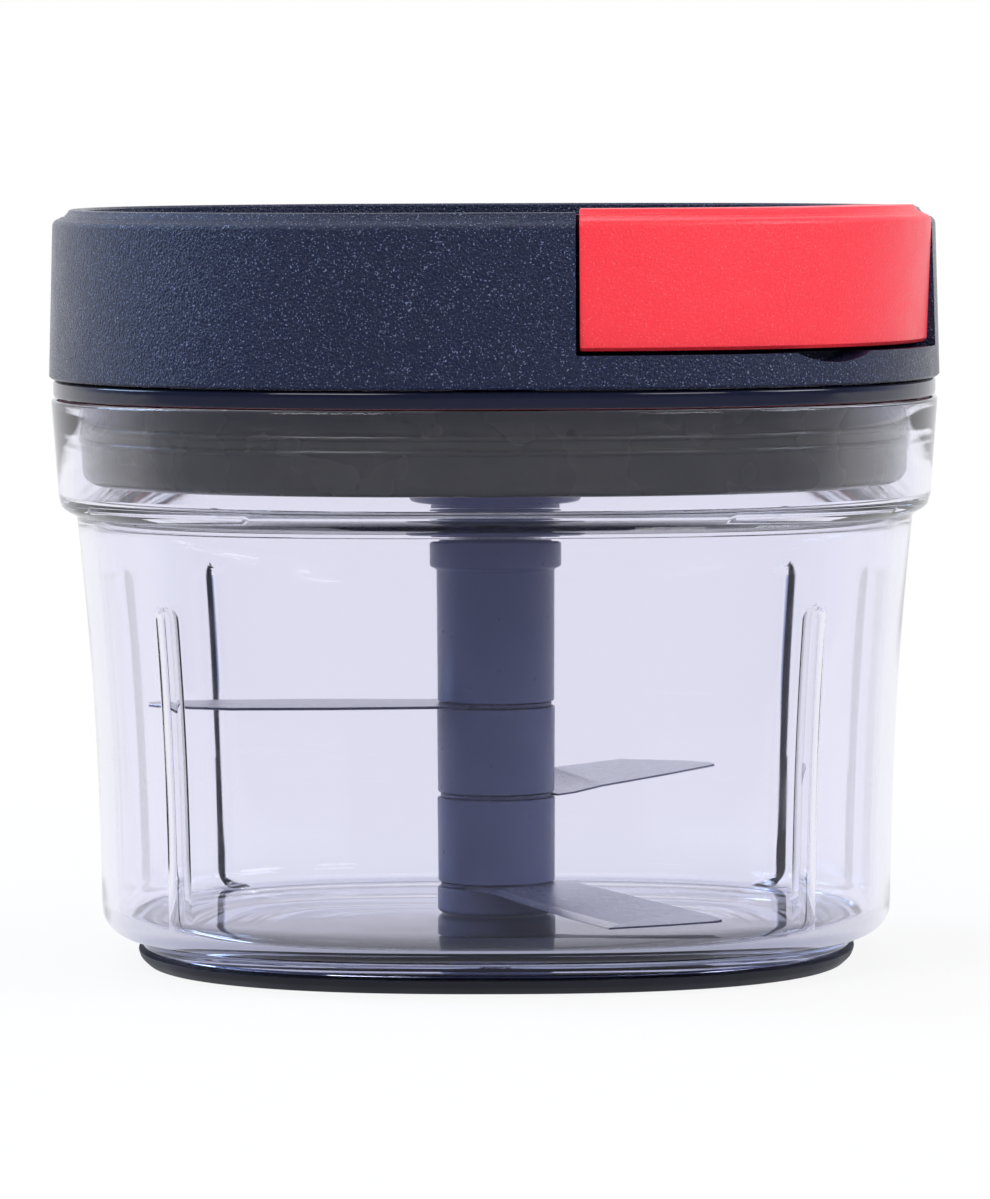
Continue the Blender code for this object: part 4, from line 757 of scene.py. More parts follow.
CLEAR_LOOK = clear_plastic()
NAVY_LOOK = grained_plastic(
    "grained_navy_plastic",
    NAVY,
    roughness=0.20,
    grain=0.00040,
    depth=0.00028,
    painted_glint=NAVY_PAINTED_GLINT,
    shade=0.30,
    specular=0.32,
)
CORAL_LOOK = grained_plastic(
    "coral_plastic",
    CORAL,
    roughness=0.32,
    grain=0.00036,
    depth=0.00010,
    painted_glint=CORAL_PAINTED_GLINT,
    shade=0.04,
    specular=0.50,
)
GLOSS_LOOK = plain_plastic("gloss_navy_plastic", GLOSS_NAVY, 0.12)
SLATE_LOOK = plain_plastic("slate_plastic", SLATE, 0.34, Specular_IOR_Level=0.40)
REEL_LOOK = plain_plastic("reel_plastic", REEL_GREY, 0.45)
NYLON_LOOK = plain_plastic("nylon", NATURAL_NYLON, 0.50)
SEAL_LOOK = rubber("grey_silicone", OLIVE_GREY, 0.26, Specular_IOR_Level=0.45)
GASKET_LOOK = rubber("dark_red_rubber", DARK_RED, 0.50)
FOOT_LOOK = rubber("foot_rubber", FOOT_DARK, 0.50)
GROUND_LOOK = brushed_steel("ground_edge", GROUND_STEEL, 0.20)
EDGE_SHADE_LOOK = brushed_steel("painted_shade_edge", EDGE_SHADE_STEEL, 0.45)
STEEL_LOOK = brushed_steel("plain_steel", TURNED_STEEL, 0.26)
SPRING_LOOK = brushed_steel("spring_steel", SPRING_STEEL, 0.30)
BRASS_LOOK = brushed_steel("bush_brass", BRASS, 0.28)
CORD_LOOK = braided_cord("cord", CORD_WHITE)


# Bowl and foot


def wall_half(level, top_half, bottom_half):
    low = FLOOR_Z + FLOOR_FILLET
    share = (level - low) / (COLLAR_Z - low)
    return bottom_half + (top_half - bottom_half) * share - BODY_BULGE * sin(pi * share)


def flute_angles():
    """Plan angles with close steps across each flute."""
    side = FLUTE_SIDE / (BODY_TOP_HALF * CORNER_SHARE)
    angles = set(even_angles(PLAN_STEPS))
    for middle in FLUTE_ANGLES:
        angles = {angle for angle in angles if abs(angle - middle) > side}
        angles |= {middle + side * (2 * step / FLUTE_STEPS - 1) for step in range(FLUTE_STEPS + 1)}
    return sorted(angles)


def flute_height(radius, outset, across, level, low, high):
    """How far a round-ended rod, its middle line this far outside a wall, reaches into it."""
    beyond = max(0.0, level - (high - radius), (low + radius) - level)
    distance = hypot(across, beyond)
    if distance >= radius:
        return 0.0
    return max(0.0, sqrt(radius**2 - distance**2) - outset)


def climb(low, high, count):
    """This many even levels above low, up to high."""
    return [low + (high - low) * step / count for step in range(1, count + 1)]


def bowl_outside(levels):
    """From the rim under the bowl up to the shelf that the plug stands over."""
    lip = (SKIRT_HALF - RIM_ROUND, SKIRT_Z + RIM_ROUND)
    heel = (BODY_BOTTOM_HALF - HEEL_RADIUS, UNDER_Z + HEEL_RADIUS + BOWL_FLOOR_THICK / 4)
    shelf = (COLLAR_LOW_INNER - SHELF_ROUND, SHELF_Z + SHELF_ROUND)
    shelf_edge = (BODY_TOP_INNER + SHELF_ROUND / 2, SHELF_Z - SHELF_ROUND / 2)
    return [
        (SKIRT_INNER, UNDER_Z),
        *arc(lip, RIM_ROUND, 180, 270, 3),
        *arc(lip, RIM_ROUND, 270, 360, 3),
        (FOOT_HALF - SKIRT_INSET / 2, UNDER_Z),
        (FOOT_HALF, UNDER_Z + BOWL_FLOOR_THICK / 4),
        *arc(heel, HEEL_RADIUS, -75, 0, 10),
        *[(wall_half(z, BODY_TOP_HALF, BODY_BOTTOM_HALF), z) for z in levels],
        (BODY_TOP_HALF, COLLAR_Z - SHELF_ROUND / 2),
        (BODY_TOP_HALF + SHELF_ROUND / 4, COLLAR_Z),
        (COLLAR_LOW_HALF - SHELF_ROUND, COLLAR_Z + COLLAR_FOOT_RISE / 4),
        (COLLAR_LOW_HALF - SHELF_ROUND / 3, COLLAR_Z + COLLAR_FOOT_RISE / 2),
        (COLLAR_LOW_HALF, COLLAR_Z + COLLAR_FOOT_RISE),
        *arc((COLLAR_HALF - RIM_ROUND, RIM_Z - RIM_ROUND), RIM_ROUND, 0, 90, 4),
        *arc((COLLAR_INNER + RIM_ROUND, RIM_Z - RIM_ROUND), RIM_ROUND, 90, 180, 4),
        (COLLAR_LOW_INNER, SHELF_Z + SHELF_ROUND),
        *reversed(arc(shelf, SHELF_ROUND, -90, -20, 4)),
        *arc(shelf_edge, SHELF_ROUND / 2, 90, 180, 4),
    ]


def bowl_inside(levels):
    """From the shelf down the wall and over the floor to the pin's hole."""
    fillet = (BODY_BOTTOM_INNER - FLOOR_FILLET, FLOOR_Z + FLOOR_FILLET)
    return [
        *[(wall_half(z, BODY_TOP_INNER, BODY_BOTTOM_INNER), z) for z in reversed(levels)],
        *reversed(arc(fillet, FLOOR_FILLET, -90, 0, 8)),
        *[(BODY_BOTTOM_INNER * share, FLOOR_Z) for share in FLOOR_RING_SHARES],
        (BOSS_RADIUS + BOSS_RISE / 4, FLOOR_Z),
        (BOSS_RADIUS, FLOOR_Z + BOSS_RISE / 4),
        (BOSS_RADIUS - BOSS_RISE / 4, BOSS_Z),
        *tier(PIN_HOLE, BOSS_Z, FLOOR_Z - PIN_HOLE_DEPTH),
        (0.0, FLOOR_Z - PIN_HOLE_DEPTH),
    ]


def make_bowl():
    flute_top = RIM_Z - FLUTE_TOP_BELOW_RIM
    low = FLOOR_Z + FLOOR_FILLET
    levels = climb(low, flute_top - 2 * FLUTE_RIB_RADIUS, FLUTE_LEVELS)
    levels += climb(levels[-1], levels[-1] + FLUTE_END_SHARE * FLUTE_RIB_RADIUS, FLUTE_END_LEVELS)
    levels += climb(levels[-1], COLLAR_Z, COLLAR_LEVELS)[:-1]
    outside = bowl_outside(levels)

    def shift(number, angle, level, reach):
        """Grooves outside and ribs inside. Of the front pair the groove shows, and of the back
        pair the rib."""
        nearest = min(FLUTE_ANGLES, key=lambda middle: abs(middle - angle))
        across = reach * (angle - nearest)
        if reach < BODY_BOTTOM_INNER * FLUTE_FROM_SHARE or not UNDER_Z < level < flute_top + SEAT_GAP:
            return 0.0
        rod = (FLUTE_GROOVE_RADIUS, FLUTE_GROOVE_OUTSET)
        groove = flute_height(*rod, across, level, low, flute_top)
        front = sin(angle) < 0.0
        if number <= len(outside):
            return -groove if front else -BACK_GROOVE_SHARE * groove
        if front:
            return -FRONT_RIB_SHARE * groove
        return -flute_height(FLUTE_RIB_RADIUS, 0.0, across, level, -flute_top, flute_top)

    profile = [(0.0, UNDER_Z), *outside, *bowl_inside(levels)]
    bowl = plan_sweep("bowl_skin", profile, CLEAR_LOOK, 2 * BOSS_RADIUS, flute_angles(), shift)
    carry(bowl, "bowl", "bowl")


def make_foot():
    ring_inner = FOOT_HALF - FOOT_RING_WIDTH
    tongue_outer = SKIRT_INNER - SEAT_GAP
    tongue_inner = tongue_outer - TONGUE_WIDTH
    web_low = FOOT_THICK - FOOT_WEB_THICK
    profile = [
        (0.0, web_low),
        *tier(ring_inner, web_low, 0.0),
        (FOOT_HALF - FOOT_EDGE, 0.0),
        (FOOT_HALF - FOOT_EDGE / 4, FOOT_THICK / 2),
        (FOOT_HALF, FOOT_THICK),
        *tier(tongue_outer, FOOT_THICK, FOOT_HIGH.z),
        *tier(tongue_inner, FOOT_HIGH.z, FOOT_THICK),
        (0.0, FOOT_THICK),
    ]
    foot = plan_sweep("foot_skin", rounded(profile, SEAT_GAP), FOOT_LOOK)
    carry(foot, "bowl", "anti_slip_foot")


# Lid


def shell_outside(top):
    """The lid's outer side from the shoulder to the rim's top, shared by shell and handle."""
    ledge = SHELL_TOP_HALF - SHOULDER_WIDTH
    slope = ledge - LEDGE_WIDTH
    return [
        *arc((ledge, top - SHOULDER_DROP), SHOULDER_WIDTH, 0, 84, 7),
        (ledge, top - RIM_RISE - RIM_EDGE / 3),
        (ledge - RIM_EDGE / 3, top - RIM_RISE),
        (slope, top - RIM_RISE + RIM_EDGE / 3),
        (slope - RIM_SLOPE, top - RIM_EDGE),
        (slope - RIM_SLOPE - RIM_EDGE / 3, top - RIM_EDGE / 4),
        (slope - RIM_SLOPE - RIM_EDGE, top),
    ]


def make_scallop():
    chord = SCALLOP_WIDTH / 2
    radius = (chord**2 + SCALLOP_DEPTH**2) / (2 * SCALLOP_DEPTH)
    dip = prism("finger_dip", DIP_STEPS, radius, 0.0, HANDLE_DEPTH)
    dip.rotation_euler = (0.0, pi / 2, PULL_ANGLE)
    dip.location = PULL * (LID_HALF * CORNER_SHARE - HANDLE_DEPTH / 2)
    dip.location.z = RECESS_Z + radius - SCALLOP_DEPTH
    return dip


def make_shell():
    rim_inner = SHELL_TOP_HALF - SHOULDER_WIDTH - LEDGE_WIDTH - RIM_SLOPE - RIM_EDGE - RIM_WIDTH
    profile = [
        (0.0, DECK_Z),
        *arc((rim_inner - RIM_EDGE - DECK_FILLET, DECK_Z + DECK_FILLET), DECK_FILLET, -90, 0),
        (rim_inner - RIM_EDGE, SHELL_TOP_Z - RIM_EDGE),
        (rim_inner, SHELL_TOP_Z),
        *reversed(shell_outside(SHELL_TOP_Z)),
        (LID_HALF, SHELL_Z + SEAT_GAP),
        (LID_HALF - SEAT_GAP, SHELL_Z),
        (LID_HALF - SHELL_WALL, SHELL_Z),
        (SHELL_TOP_HALF - SHELL_WALL, DECK_UNDER_Z),
        (0.0, DECK_UNDER_Z),
    ]
    shell = plan_sweep("shell_skin", profile, NAVY_LOOK)
    block_half = LID_HALF - SHELL_WALL / 2
    recess_start = HANDLE_START - HANDLE_SIDE_GAP
    block = corner_loft(
        "recess_block",
        [
            (RECESS_INNER_HALF, RECESS_Z - RECESS_WALL),
            (block_half, RECESS_Z - RECESS_WALL),
            (block_half - SHELL_TAPER, DECK_UNDER_Z),
            (rim_inner + RIM_WIDTH / 2, SHELL_TOP_Z - RECESS_RIM_DROP),
            (RECESS_INNER_HALF, SHELL_TOP_Z - RECESS_RIM_DROP),
        ],
        recess_start - RECESS_WALL,
    )
    join(shell, block)
    recess = rectangle(RECESS_HALF, LID_HALF + CUT_OVERRUN, RECESS_Z, SHELL_TOP_Z + CUT_OVERRUN)
    cut(shell, corner_loft("recess_cut", recess, recess_start))
    cut(shell, make_scallop())
    carry(shell, "lid", "lid_shell")


def post_places():
    """Centres of the four lid screws."""
    return [
        (POST_DISTANCE * cos(turn), POST_DISTANCE * sin(turn)) for turn in SCREW_ANGLES
    ]


def make_base():
    """The glossy ring between shell and bowl, the plug tub and the boss of the drive."""
    flange_z = RIM_Z + SEAT_GAP
    bore = COUPLER_BARREL_RADIUS + RUNNING_GAP + HUB_BUSH_WALL + SEAM_GAP
    boss = bore + HUB_BOSS_WALL
    groove_outer = FLANGE_HALF - LIP_WALL
    groove_inner = groove_outer - GASKET_WIDTH - 2 * SEAT_GAP
    groove_top = GASKET_HIGH.z + SEAT_GAP
    step_half = PLUG_HALF - SEAL_TURN_IN - SEAT_GAP
    step_z = SEAL_LOW.z + SEAL_TURN_THICK + SEAT_GAP
    boss_top = BASE_LOW.z + HUB_BUSH_HEIGHT
    ring_edge = (FLANGE_HALF - FLANGE_ROUND, FLANGE_TOP_Z - FLANGE_ROUND)
    profile = [
        (BASE_INNER, FLANGE_TOP_Z),
        *reversed(arc(ring_edge, FLANGE_ROUND, 0, 90)),
        (FLANGE_HALF, flange_z + FLANGE_ROUND),
        (FLANGE_HALF - LIP_WALL / 4, flange_z),
        *tier(groove_outer, flange_z, groove_top),
        *tier(groove_inner, groove_top, flange_z),
        *tier(PLUG_HALF, flange_z, step_z + 2 * SEAT_GAP),
        (PLUG_HALF - SEAT_GAP, step_z),
        *tier(step_half, step_z, BASE_LOW.z),
        *tier(bore, BASE_LOW.z, boss_top),
        *tier(boss, boss_top, BASE_FLOOR_Z),
        (BASE_INNER, BASE_FLOOR_Z),
    ]
    base = plan_sweep("base_skin", rounded(profile, FINE_ROUND, 2), GLOSS_LOOK, 2 * boss)
    head_hole = SCREW_HEAD_RADIUS + SEAT_GAP
    tube = (head_hole + BOSS_TUBE_WALL, BASE_FLOOR_Z - BASE_FLOOR_THICK / 2, BOSS_TUBE_Z)
    low = BASE_LOW.z - CUT_OVERRUN
    counterbore = (head_hole, low, BOSS_TUBE_Z - BOSS_TUBE_TOP)
    shank_hole = (SCREW_SHANK_RADIUS + SEAT_GAP, low, BOSS_TUBE_Z + CUT_OVERRUN)
    for place in post_places():
        join(base, prism("boss_tube", SMALL_STEPS, *tube, place=place))
    for place in post_places():
        cut(base, prism("head_hole", SMALL_STEPS, *counterbore, place=place))
        cut(base, prism("shank_hole", SMALL_STEPS, *shank_hole, place=place))
    carry(base, "lid", "lid_base")


def make_screws():
    """The four lid screws, seen from below in their counterbores."""
    seat = BOSS_TUBE_Z - BOSS_TUBE_TOP - SEAT_GAP
    low = seat - SCREW_HEAD_HEIGHT
    outline = [
        (0.0, seat + SCREW_SHANK_LENGTH),
        (SCREW_SHANK_RADIUS / 2, seat + SCREW_SHANK_LENGTH),
        *tier(SCREW_SHANK_RADIUS, seat + SCREW_SHANK_LENGTH - SCREW_SHANK_RADIUS, seat),
        *tier(SCREW_HEAD_RADIUS, seat, low + SCREW_HEAD_HEIGHT / 3),
        (SCREW_HEAD_RADIUS * SCREW_EDGE_SHARE, low),
        (0.0, low),
    ]
    for number, (x, y) in enumerate(post_places()):
        screw = turned(f"screw_skin_{number + 1}", rounded(outline), STEEL_LOOK, SMALL_STEPS)
        socket = (SCREW_SLOT_ACROSS, low - CUT_OVERRUN, low + SCREW_SLOT_DEPTH)
        cut(screw, hexagon("screw_drive", *socket))
        screw.data.transform(Matrix.Translation((x, y, 0.0)))
        carry(screw, "lid", f"lid_screw_{number + 1}")


def make_seal():
    lip_low = SEAL_HIGH.z - SEAL_LIP_HEIGHT
    low_half = SEAL_HALF - SEAL_TAPER
    inner = PLUG_HALF + SEAT_GAP
    corner = (low_half - SEAL_CORNER, SEAL_LOW.z + SEAL_CORNER)
    ridges = []
    for number in range(SEAL_RIDGES):
        level = lip_low - (2 * number + 1) * SEAL_RIDGE_PITCH / 2
        ridges += arc((SEAL_HALF, level), SEAL_RIDGE, 90, -90)
    turn_in = PLUG_HALF - SEAL_TURN_IN
    turn_top = SEAL_LOW.z + SEAL_TURN_THICK
    lip = SEAL_HALF + SEAL_LIP
    profile = [
        (inner, SEAL_HIGH.z),
        (lip, SEAL_HIGH.z),
        (lip - SEAL_TAPER, SEAL_HIGH.z - SEAL_LIP_HEIGHT / 2),
        (SEAL_HALF, lip_low),
        *ridges,
        *arc(corner, SEAL_CORNER, 0, -90),
        *tier(turn_in, SEAL_LOW.z, turn_top),
        (inner - SEAT_GAP, turn_top),
        (inner, turn_top + SEAT_GAP),
    ]
    seal = plan_sweep("seal_skin", rounded(profile, FINE_ROUND, 2), SEAL_LOOK)
    carry(seal, "lid", "plug_seal")


def make_gasket():
    outer = GASKET_HIGH.x
    profile = rectangle(outer - GASKET_WIDTH, outer, GASKET_LOW.z, GASKET_HIGH.z)
    gasket = plan_sweep("gasket_skin", rounded(profile, SEAT_GAP), GASKET_LOOK)
    carry(gasket, "lid", "rim_gasket")


def make_grip():
    low = RECESS_Z + HANDLE_UNDER_GAP
    top = GRIP_HIGH.z
    profile = [
        (HANDLE_BACK_HALF, low),
        (GRIP_HIGH.x - HANDLE_EDGE, low),
        (GRIP_HIGH.x, low + HANDLE_EDGE),
        *shell_outside(top),
        (HANDLE_BACK_HALF, top),
    ]
    grip = corner_loft("grip_skin", profile, HANDLE_START, CORAL_LOOK)
    soften(grip)
    inner_top = top - HANDLE_WALL
    inner_low = low + HANDLE_WALL
    hollow = [
        (HANDLE_BACK_HALF - CUT_OVERRUN, inner_low),
        *tier(SHELL_TOP_HALF - HANDLE_WALL, inner_low, inner_top - HANDLE_WALL),
        (SHELL_TOP_HALF - 2 * HANDLE_WALL, inner_top),
        (HANDLE_BACK_HALF - CUT_OVERRUN, inner_top),
    ]
    cut(grip, corner_loft("grip_hollow", hollow, HANDLE_START + HANDLE_WALL))
    carry(grip, "handle", "handle_grip")


def make_handle_back():
    """The plate in the handle's open back, with the hole that the cord comes through."""
    low = RECESS_Z + HANDLE_UNDER_GAP + HANDLE_WALL + SEAT_GAP
    high = GRIP_HIGH.z - HANDLE_WALL - SEAT_GAP
    profile = rectangle(HANDLE_BACK_HALF, HANDLE_BACK_HALF + HANDLE_PLATE_THICK, low, high)
    plate = corner_loft("back_skin", profile, HANDLE_START + HANDLE_WALL + SEAT_GAP, CORAL_LOOK)
    hole = prism("cord_hole", SMALL_STEPS, CORD_RADIUS + EYELET_BORE_GAP, 0.0, HANDLE_DEPTH)
    along_pull(hole, HANDLE_BACK_HALF * CORNER_SHARE - HANDLE_DEPTH / 2)
    cut(plate, hole)
    soften(plate)
    carry(plate, "handle", "handle_back")


def along_pull(piece, start):
    """Lays a piece that stands on the origin down along the pull direction, from start outward."""
    lay = Matrix.Rotation(PULL_ANGLE, 4, "Z") @ Matrix.Rotation(pi / 2, 4, "Y")
    place = PULL * start + Vector((0.0, 0.0, CORD_Z))
    piece.data.transform(Matrix.Translation(place) @ lay)


def make_eyelet():
    """The ferrule in the recess wall, its mouth flared so that it doesn't chafe the cord."""
    bore = CORD_RADIUS + EYELET_BORE_GAP
    outer = bore + EYELET_WALL
    wall_inside = RECESS_INNER_HALF * CORNER_SHARE
    length = RECESS_HALF * CORNER_SHARE - wall_inside + EYELET_FLANGE_THICK + SEAT_GAP
    outline = [
        (bore, length - EDGE_ROUND),
        (bore + EDGE_ROUND, length),
        *tier(outer, length, EYELET_FLANGE_THICK),
        *tier(outer + EYELET_FLANGE, EYELET_FLANGE_THICK, EYELET_FLANGE_THICK / 3),
        (outer + EYELET_FLANGE / 2, 0.0),
        (bore + EYELET_BORE_GAP, 0.0),
        (bore, EYELET_FLANGE_THICK / 2),
    ]
    eyelet = turned("eyelet_skin", rounded(outline, FINE_ROUND), STEEL_LOOK)
    along_pull(eyelet, wall_inside - 2 * SEAT_GAP - EYELET_FLANGE_THICK)
    carry(eyelet, "lid", "cord_eyelet")


# Pull cord


def cord_route():
    """Points from beside the reel's winding through the eyelet to the knot, as in the CAD."""
    bend = RECESS_INNER_HALF * CORNER_SHARE - 2 * SEAT_GAP - EYELET_FLANGE_THICK - CORD_BEND_ON
    start = PULL_ANGLE + acos(WIND_RADIUS / bend)
    leave = Vector((WIND_RADIUS * cos(start), WIND_RADIUS * sin(start), 0.0))
    corner = PULL * bend
    way = (corner - leave).normalized()
    first = leave + way * CORD_LEAD_GAP
    before = corner - way * CORD_BEND_BACK
    after = corner + PULL * CORD_BEND_ON
    end = (HANDLE_BACK_HALF + HANDLE_PLATE_THICK) * CORNER_SHARE + SEAT_GAP
    points = [first.lerp(before, step / CORD_LEAD_STEPS) for step in range(CORD_LEAD_STEPS)]
    for step in range(CORD_BEND_STEPS):
        share = step / CORD_BEND_STEPS
        points.append(before.lerp(corner, share).lerp(corner.lerp(after, share), share))
    points += [after.lerp(PULL * end, step / CORD_RUN_STEPS) for step in range(CORD_RUN_STEPS + 1)]
    level = Vector((0.0, 0.0, CORD_Z))
    return [point + level for point in points]


def make_cord():
    """The braid: round strands laid in two directions over one core, along the cord's route."""
    points = cord_route()
    bm = bmesh.new()
    rings = []
    gone = 0.0
    for number, point in enumerate(points):
        ahead = points[min(number + 1, len(points) - 1)]
        behind = points[max(number - 1, 0)]
        way = (ahead - behind).normalized()
        side = way.cross(Vector((0.0, 0.0, 1.0))).normalized()
        up = side.cross(way)
        gone += (point - behind).length
        twist = 2 * pi * gone / STRAND_PITCH
        ring = []
        for step in range(CORD_SIDES):
            turn = 2 * pi * step / CORD_SIDES
            right = cos(STRANDS / 2 * turn + twist)
            left = cos(STRANDS / 2 * turn - twist)
            dip = 1.0 - max(abs(right), abs(left))
            reach = CORD_RADIUS * (1.0 - STRAND_SHARE * dip)
            across = side * reach * cos(turn)
            ring.append(bm.verts.new(point + across + up * reach * sin(turn)))
        rings.append(ring)
    fill_between(bm, rings)
    bm.faces.new(rings[0])
    bm.faces.new(rings[-1])
    cord = mesh_piece("pull_cord", bm, CORD_LOOK)
    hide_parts("cord_lead", "cord_end")
    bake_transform(cord)


# Blade column


def make_pin():
    pin_low, pin_high = box_of("bowl_pin")
    outline = [
        (0.0, pin_high.z),
        (PIN_RADIUS - PIN_POINT, pin_high.z),
        *tier(PIN_RADIUS, pin_high.z - PIN_POINT, pin_low.z),
        (0.0, pin_low.z),
    ]
    pin = turned("pin_skin", rounded(outline), STEEL_LOOK)
    carry(pin, "bowl", "bowl_pin")


def make_spindle():
    """The column's base and its hexagonal core, bored for the bowl's boss, the bush and the pin."""
    base_top = FLOOR_Z + LOWER_BLADE_RISE - SEAM_GAP
    low = FLOOR_Z + RUNNING_GAP / 4
    bush_low = BOSS_Z + RUNNING_GAP
    bush_top = bush_low + BUSH_HEIGHT + SEAT_GAP
    pin_hole = PIN_RADIUS + RUNNING_GAP
    bush_hole = pin_hole + BUSH_WALL + SEAM_GAP
    boss_hole = BOSS_RADIUS + RUNNING_GAP
    bore_top = BOSS_Z + PIN_RISE + SPINDLE_LIFT
    outline = [
        (0.0, base_top),
        *tier(COLUMN_RADIUS, base_top, low + BASE_CHAMFER),
        (COLUMN_RADIUS - BASE_CHAMFER, low),
        (0.0, low),
    ]
    base = turned("spindle_skin", rounded(outline), SLATE_LOOK)
    core_top = COUPLER_LOW.z + SOCKET_DEPTH - CORE_TOP_GAP
    core = hexagon("core", CORE_ACROSS, base_top - BASE_CHAMFER, core_top)
    soften(core, 3, 35.0)
    join(base, core)
    bores = [
        (0.0, bore_top),
        *tier(pin_hole, bore_top, bush_top),
        *tier(bush_hole, bush_top, bush_low),
        *tier(boss_hole, bush_low, low - CUT_OVERRUN),
        (0.0, low - CUT_OVERRUN),
    ]
    cut(base, turned("core_bores", bores))
    carry(base, "blades", "spindle")


def make_sleeve(node, outside=()):
    """One length of the column over the core, its rims softly rounded."""
    low, high = box_of(node)
    inner = CORE_ACROSS / 4
    outline = [
        (inner, high.z),
        *(outside or [(COLUMN_RADIUS, high.z)]),
        (COLUMN_RADIUS - COLUMN_LEAN, low.z),
        (inner, low.z),
    ]
    sleeve = turned(node.replace("column", "sleeve"), rounded(outline), SLATE_LOOK)
    cut(sleeve, hexagon("sleeve_hole", HEX_HOLE, low.z - CUT_OVERRUN, high.z + CUT_OVERRUN))
    carry(sleeve, "blades", node)


def make_column():
    make_sleeve("column_lower")
    make_sleeve("column_middle")
    top = box_of("column_upper")[1].z
    ring_top = top + CLIP_HEIGHT + SEAM_GAP - COLLAR_RING_DROP
    ring_low = ring_top - COLLAR_RING_HEIGHT
    step = COLLAR_RING_RADIUS - COLUMN_RADIUS
    outside = [
        *tier(COLUMN_NECK_RADIUS, top, ring_top),
        (COLLAR_RING_RADIUS - step / 2, ring_top),
        *tier(COLLAR_RING_RADIUS, ring_top - step, ring_low + step / 2),
        (COLUMN_RADIUS, ring_low),
    ]
    make_sleeve("column_upper", outside)


def rows_round(rows, at):
    """The two rows that this value of a row's first number lies between."""
    after = next(number for number, row in enumerate(rows) if number and row[0] >= at - 1e-6)
    return rows[after - 1], rows[after]


def between(rows, count):
    """The rows with further rows between them, at even steps of their first value."""
    made = []
    for step in range(count + 1):
        at = rows[0][0] + (rows[-1][0] - rows[0][0]) * step / count
        low, high = rows_round(rows, at)
        share = (at - low[0]) / (high[0] - low[0])
        made.append([one + (other - one) * share for one, other in zip(low, high)])
    return made


def show_edges(blade, shares, last):
    """Gives upright faces, the blade edges and the hub rim, a rougher steel darkened as painted shade,
    and the faces that are ground, out to the last share of the reach, a brighter one."""
    blade.data.materials.append(EDGE_SHADE_LOOK)
    blade.data.materials.append(GROUND_LOOK)
    for face in blade.data.polygons:
        share = face.center.x / BLADE_REACH
        # Upright faces take the steel darkened as painted shade
        if abs(face.normal.z) < SIDE_NORMAL:
            face.material_index = 1
            continue
        if face.normal.z < 0.0 or not COLUMN_RADIUS / BLADE_REACH < share < last:
            continue
        low, high = rows_round(shares, share)
        part = (share - low[0]) / (high[0] - low[0])
        edge, back = [BLADE_REACH * (low[at] + (high[at] - low[at]) * part) for at in (1, 2)]
        if face.center.y < edge + min(GRIND_MOST_SHARE * (back - edge), BLADE_GRIND) - BLADE_ROUND:
            face.material_index = 2


def make_blade(name, colour, rise, angle, shares, teeth=None):
    """A blade with a hub ring. Its leading edge is ground from above down to a land. Where teeth
    are given, from one share of the reach to another, it is notched and ground thin."""
    look = brushed_steel(f"blade_steel_{name}", colour, 0.28, radians(angle))
    skin = BLADE_THICK / 2 - SEAM_GAP / 3
    bm = bmesh.new()
    rows = []
    for row in between(shares, BLADE_SECTIONS):
        reach, edge, back, edge_lift, back_lift = [BLADE_REACH * share for share in row]
        ground_share = min(GRIND_MOST_SHARE, BLADE_GRIND / (back - edge))

        def level(across, edge=edge, back=back, low=edge_lift, high=back_lift):
            return BLADE_THICK / 2 + low + (high - low) * (across - edge) / (back - edge)

        ground = edge + (back - edge) * ground_share
        front = edge
        land = EDGE_LAND
        if teeth and row[0] < teeth[1]:
            land = EDGE_THICK
        if teeth and teeth[0] < row[0] < teeth[1]:
            front += TOOTH_DEPTH * abs(sin(pi * reach / TOOTH_PITCH))
        section = [
            (front, level(front) - skin),
            (back - BLADE_ROUND, level(back) - skin),
            *tier(back, level(back) - skin + BLADE_ROUND, level(back) + skin - BLADE_ROUND),
            (back - BLADE_ROUND, level(back) + skin),
            (ground, level(ground) + skin),
            (front, level(front) - skin + land),
        ]
        rows.append([bm.verts.new((reach, across, height)) for across, height in section])
    fill_between(bm, rows)
    bm.faces.new(rows[0])
    bm.faces.new(rows[-1])
    arm = mesh_piece("arm", bm)
    radius = COLUMN_RADIUS - HUB_IN_COLUMN
    ring = [(0.0, BLADE_THICK), (radius, BLADE_THICK), (radius, 0.0), (0.0, 0.0)]
    blade = turned(f"cutter_{name}", rounded(ring, BLADE_ROUND), look)
    join(blade, arm)
    show_edges(blade, shares, teeth[1] if teeth else 0.0)
    blade.data.transform(Matrix.Rotation(radians(angle), 4, "Z"))
    cut(blade, hexagon("hub_hole", HEX_HOLE, -CUT_OVERRUN, BLADE_THICK + CUT_OVERRUN))
    blade.data.transform(Matrix.Translation((0.0, 0.0, FLOOR_Z + rise)))
    carry(blade, "blades", f"blade_{name}")


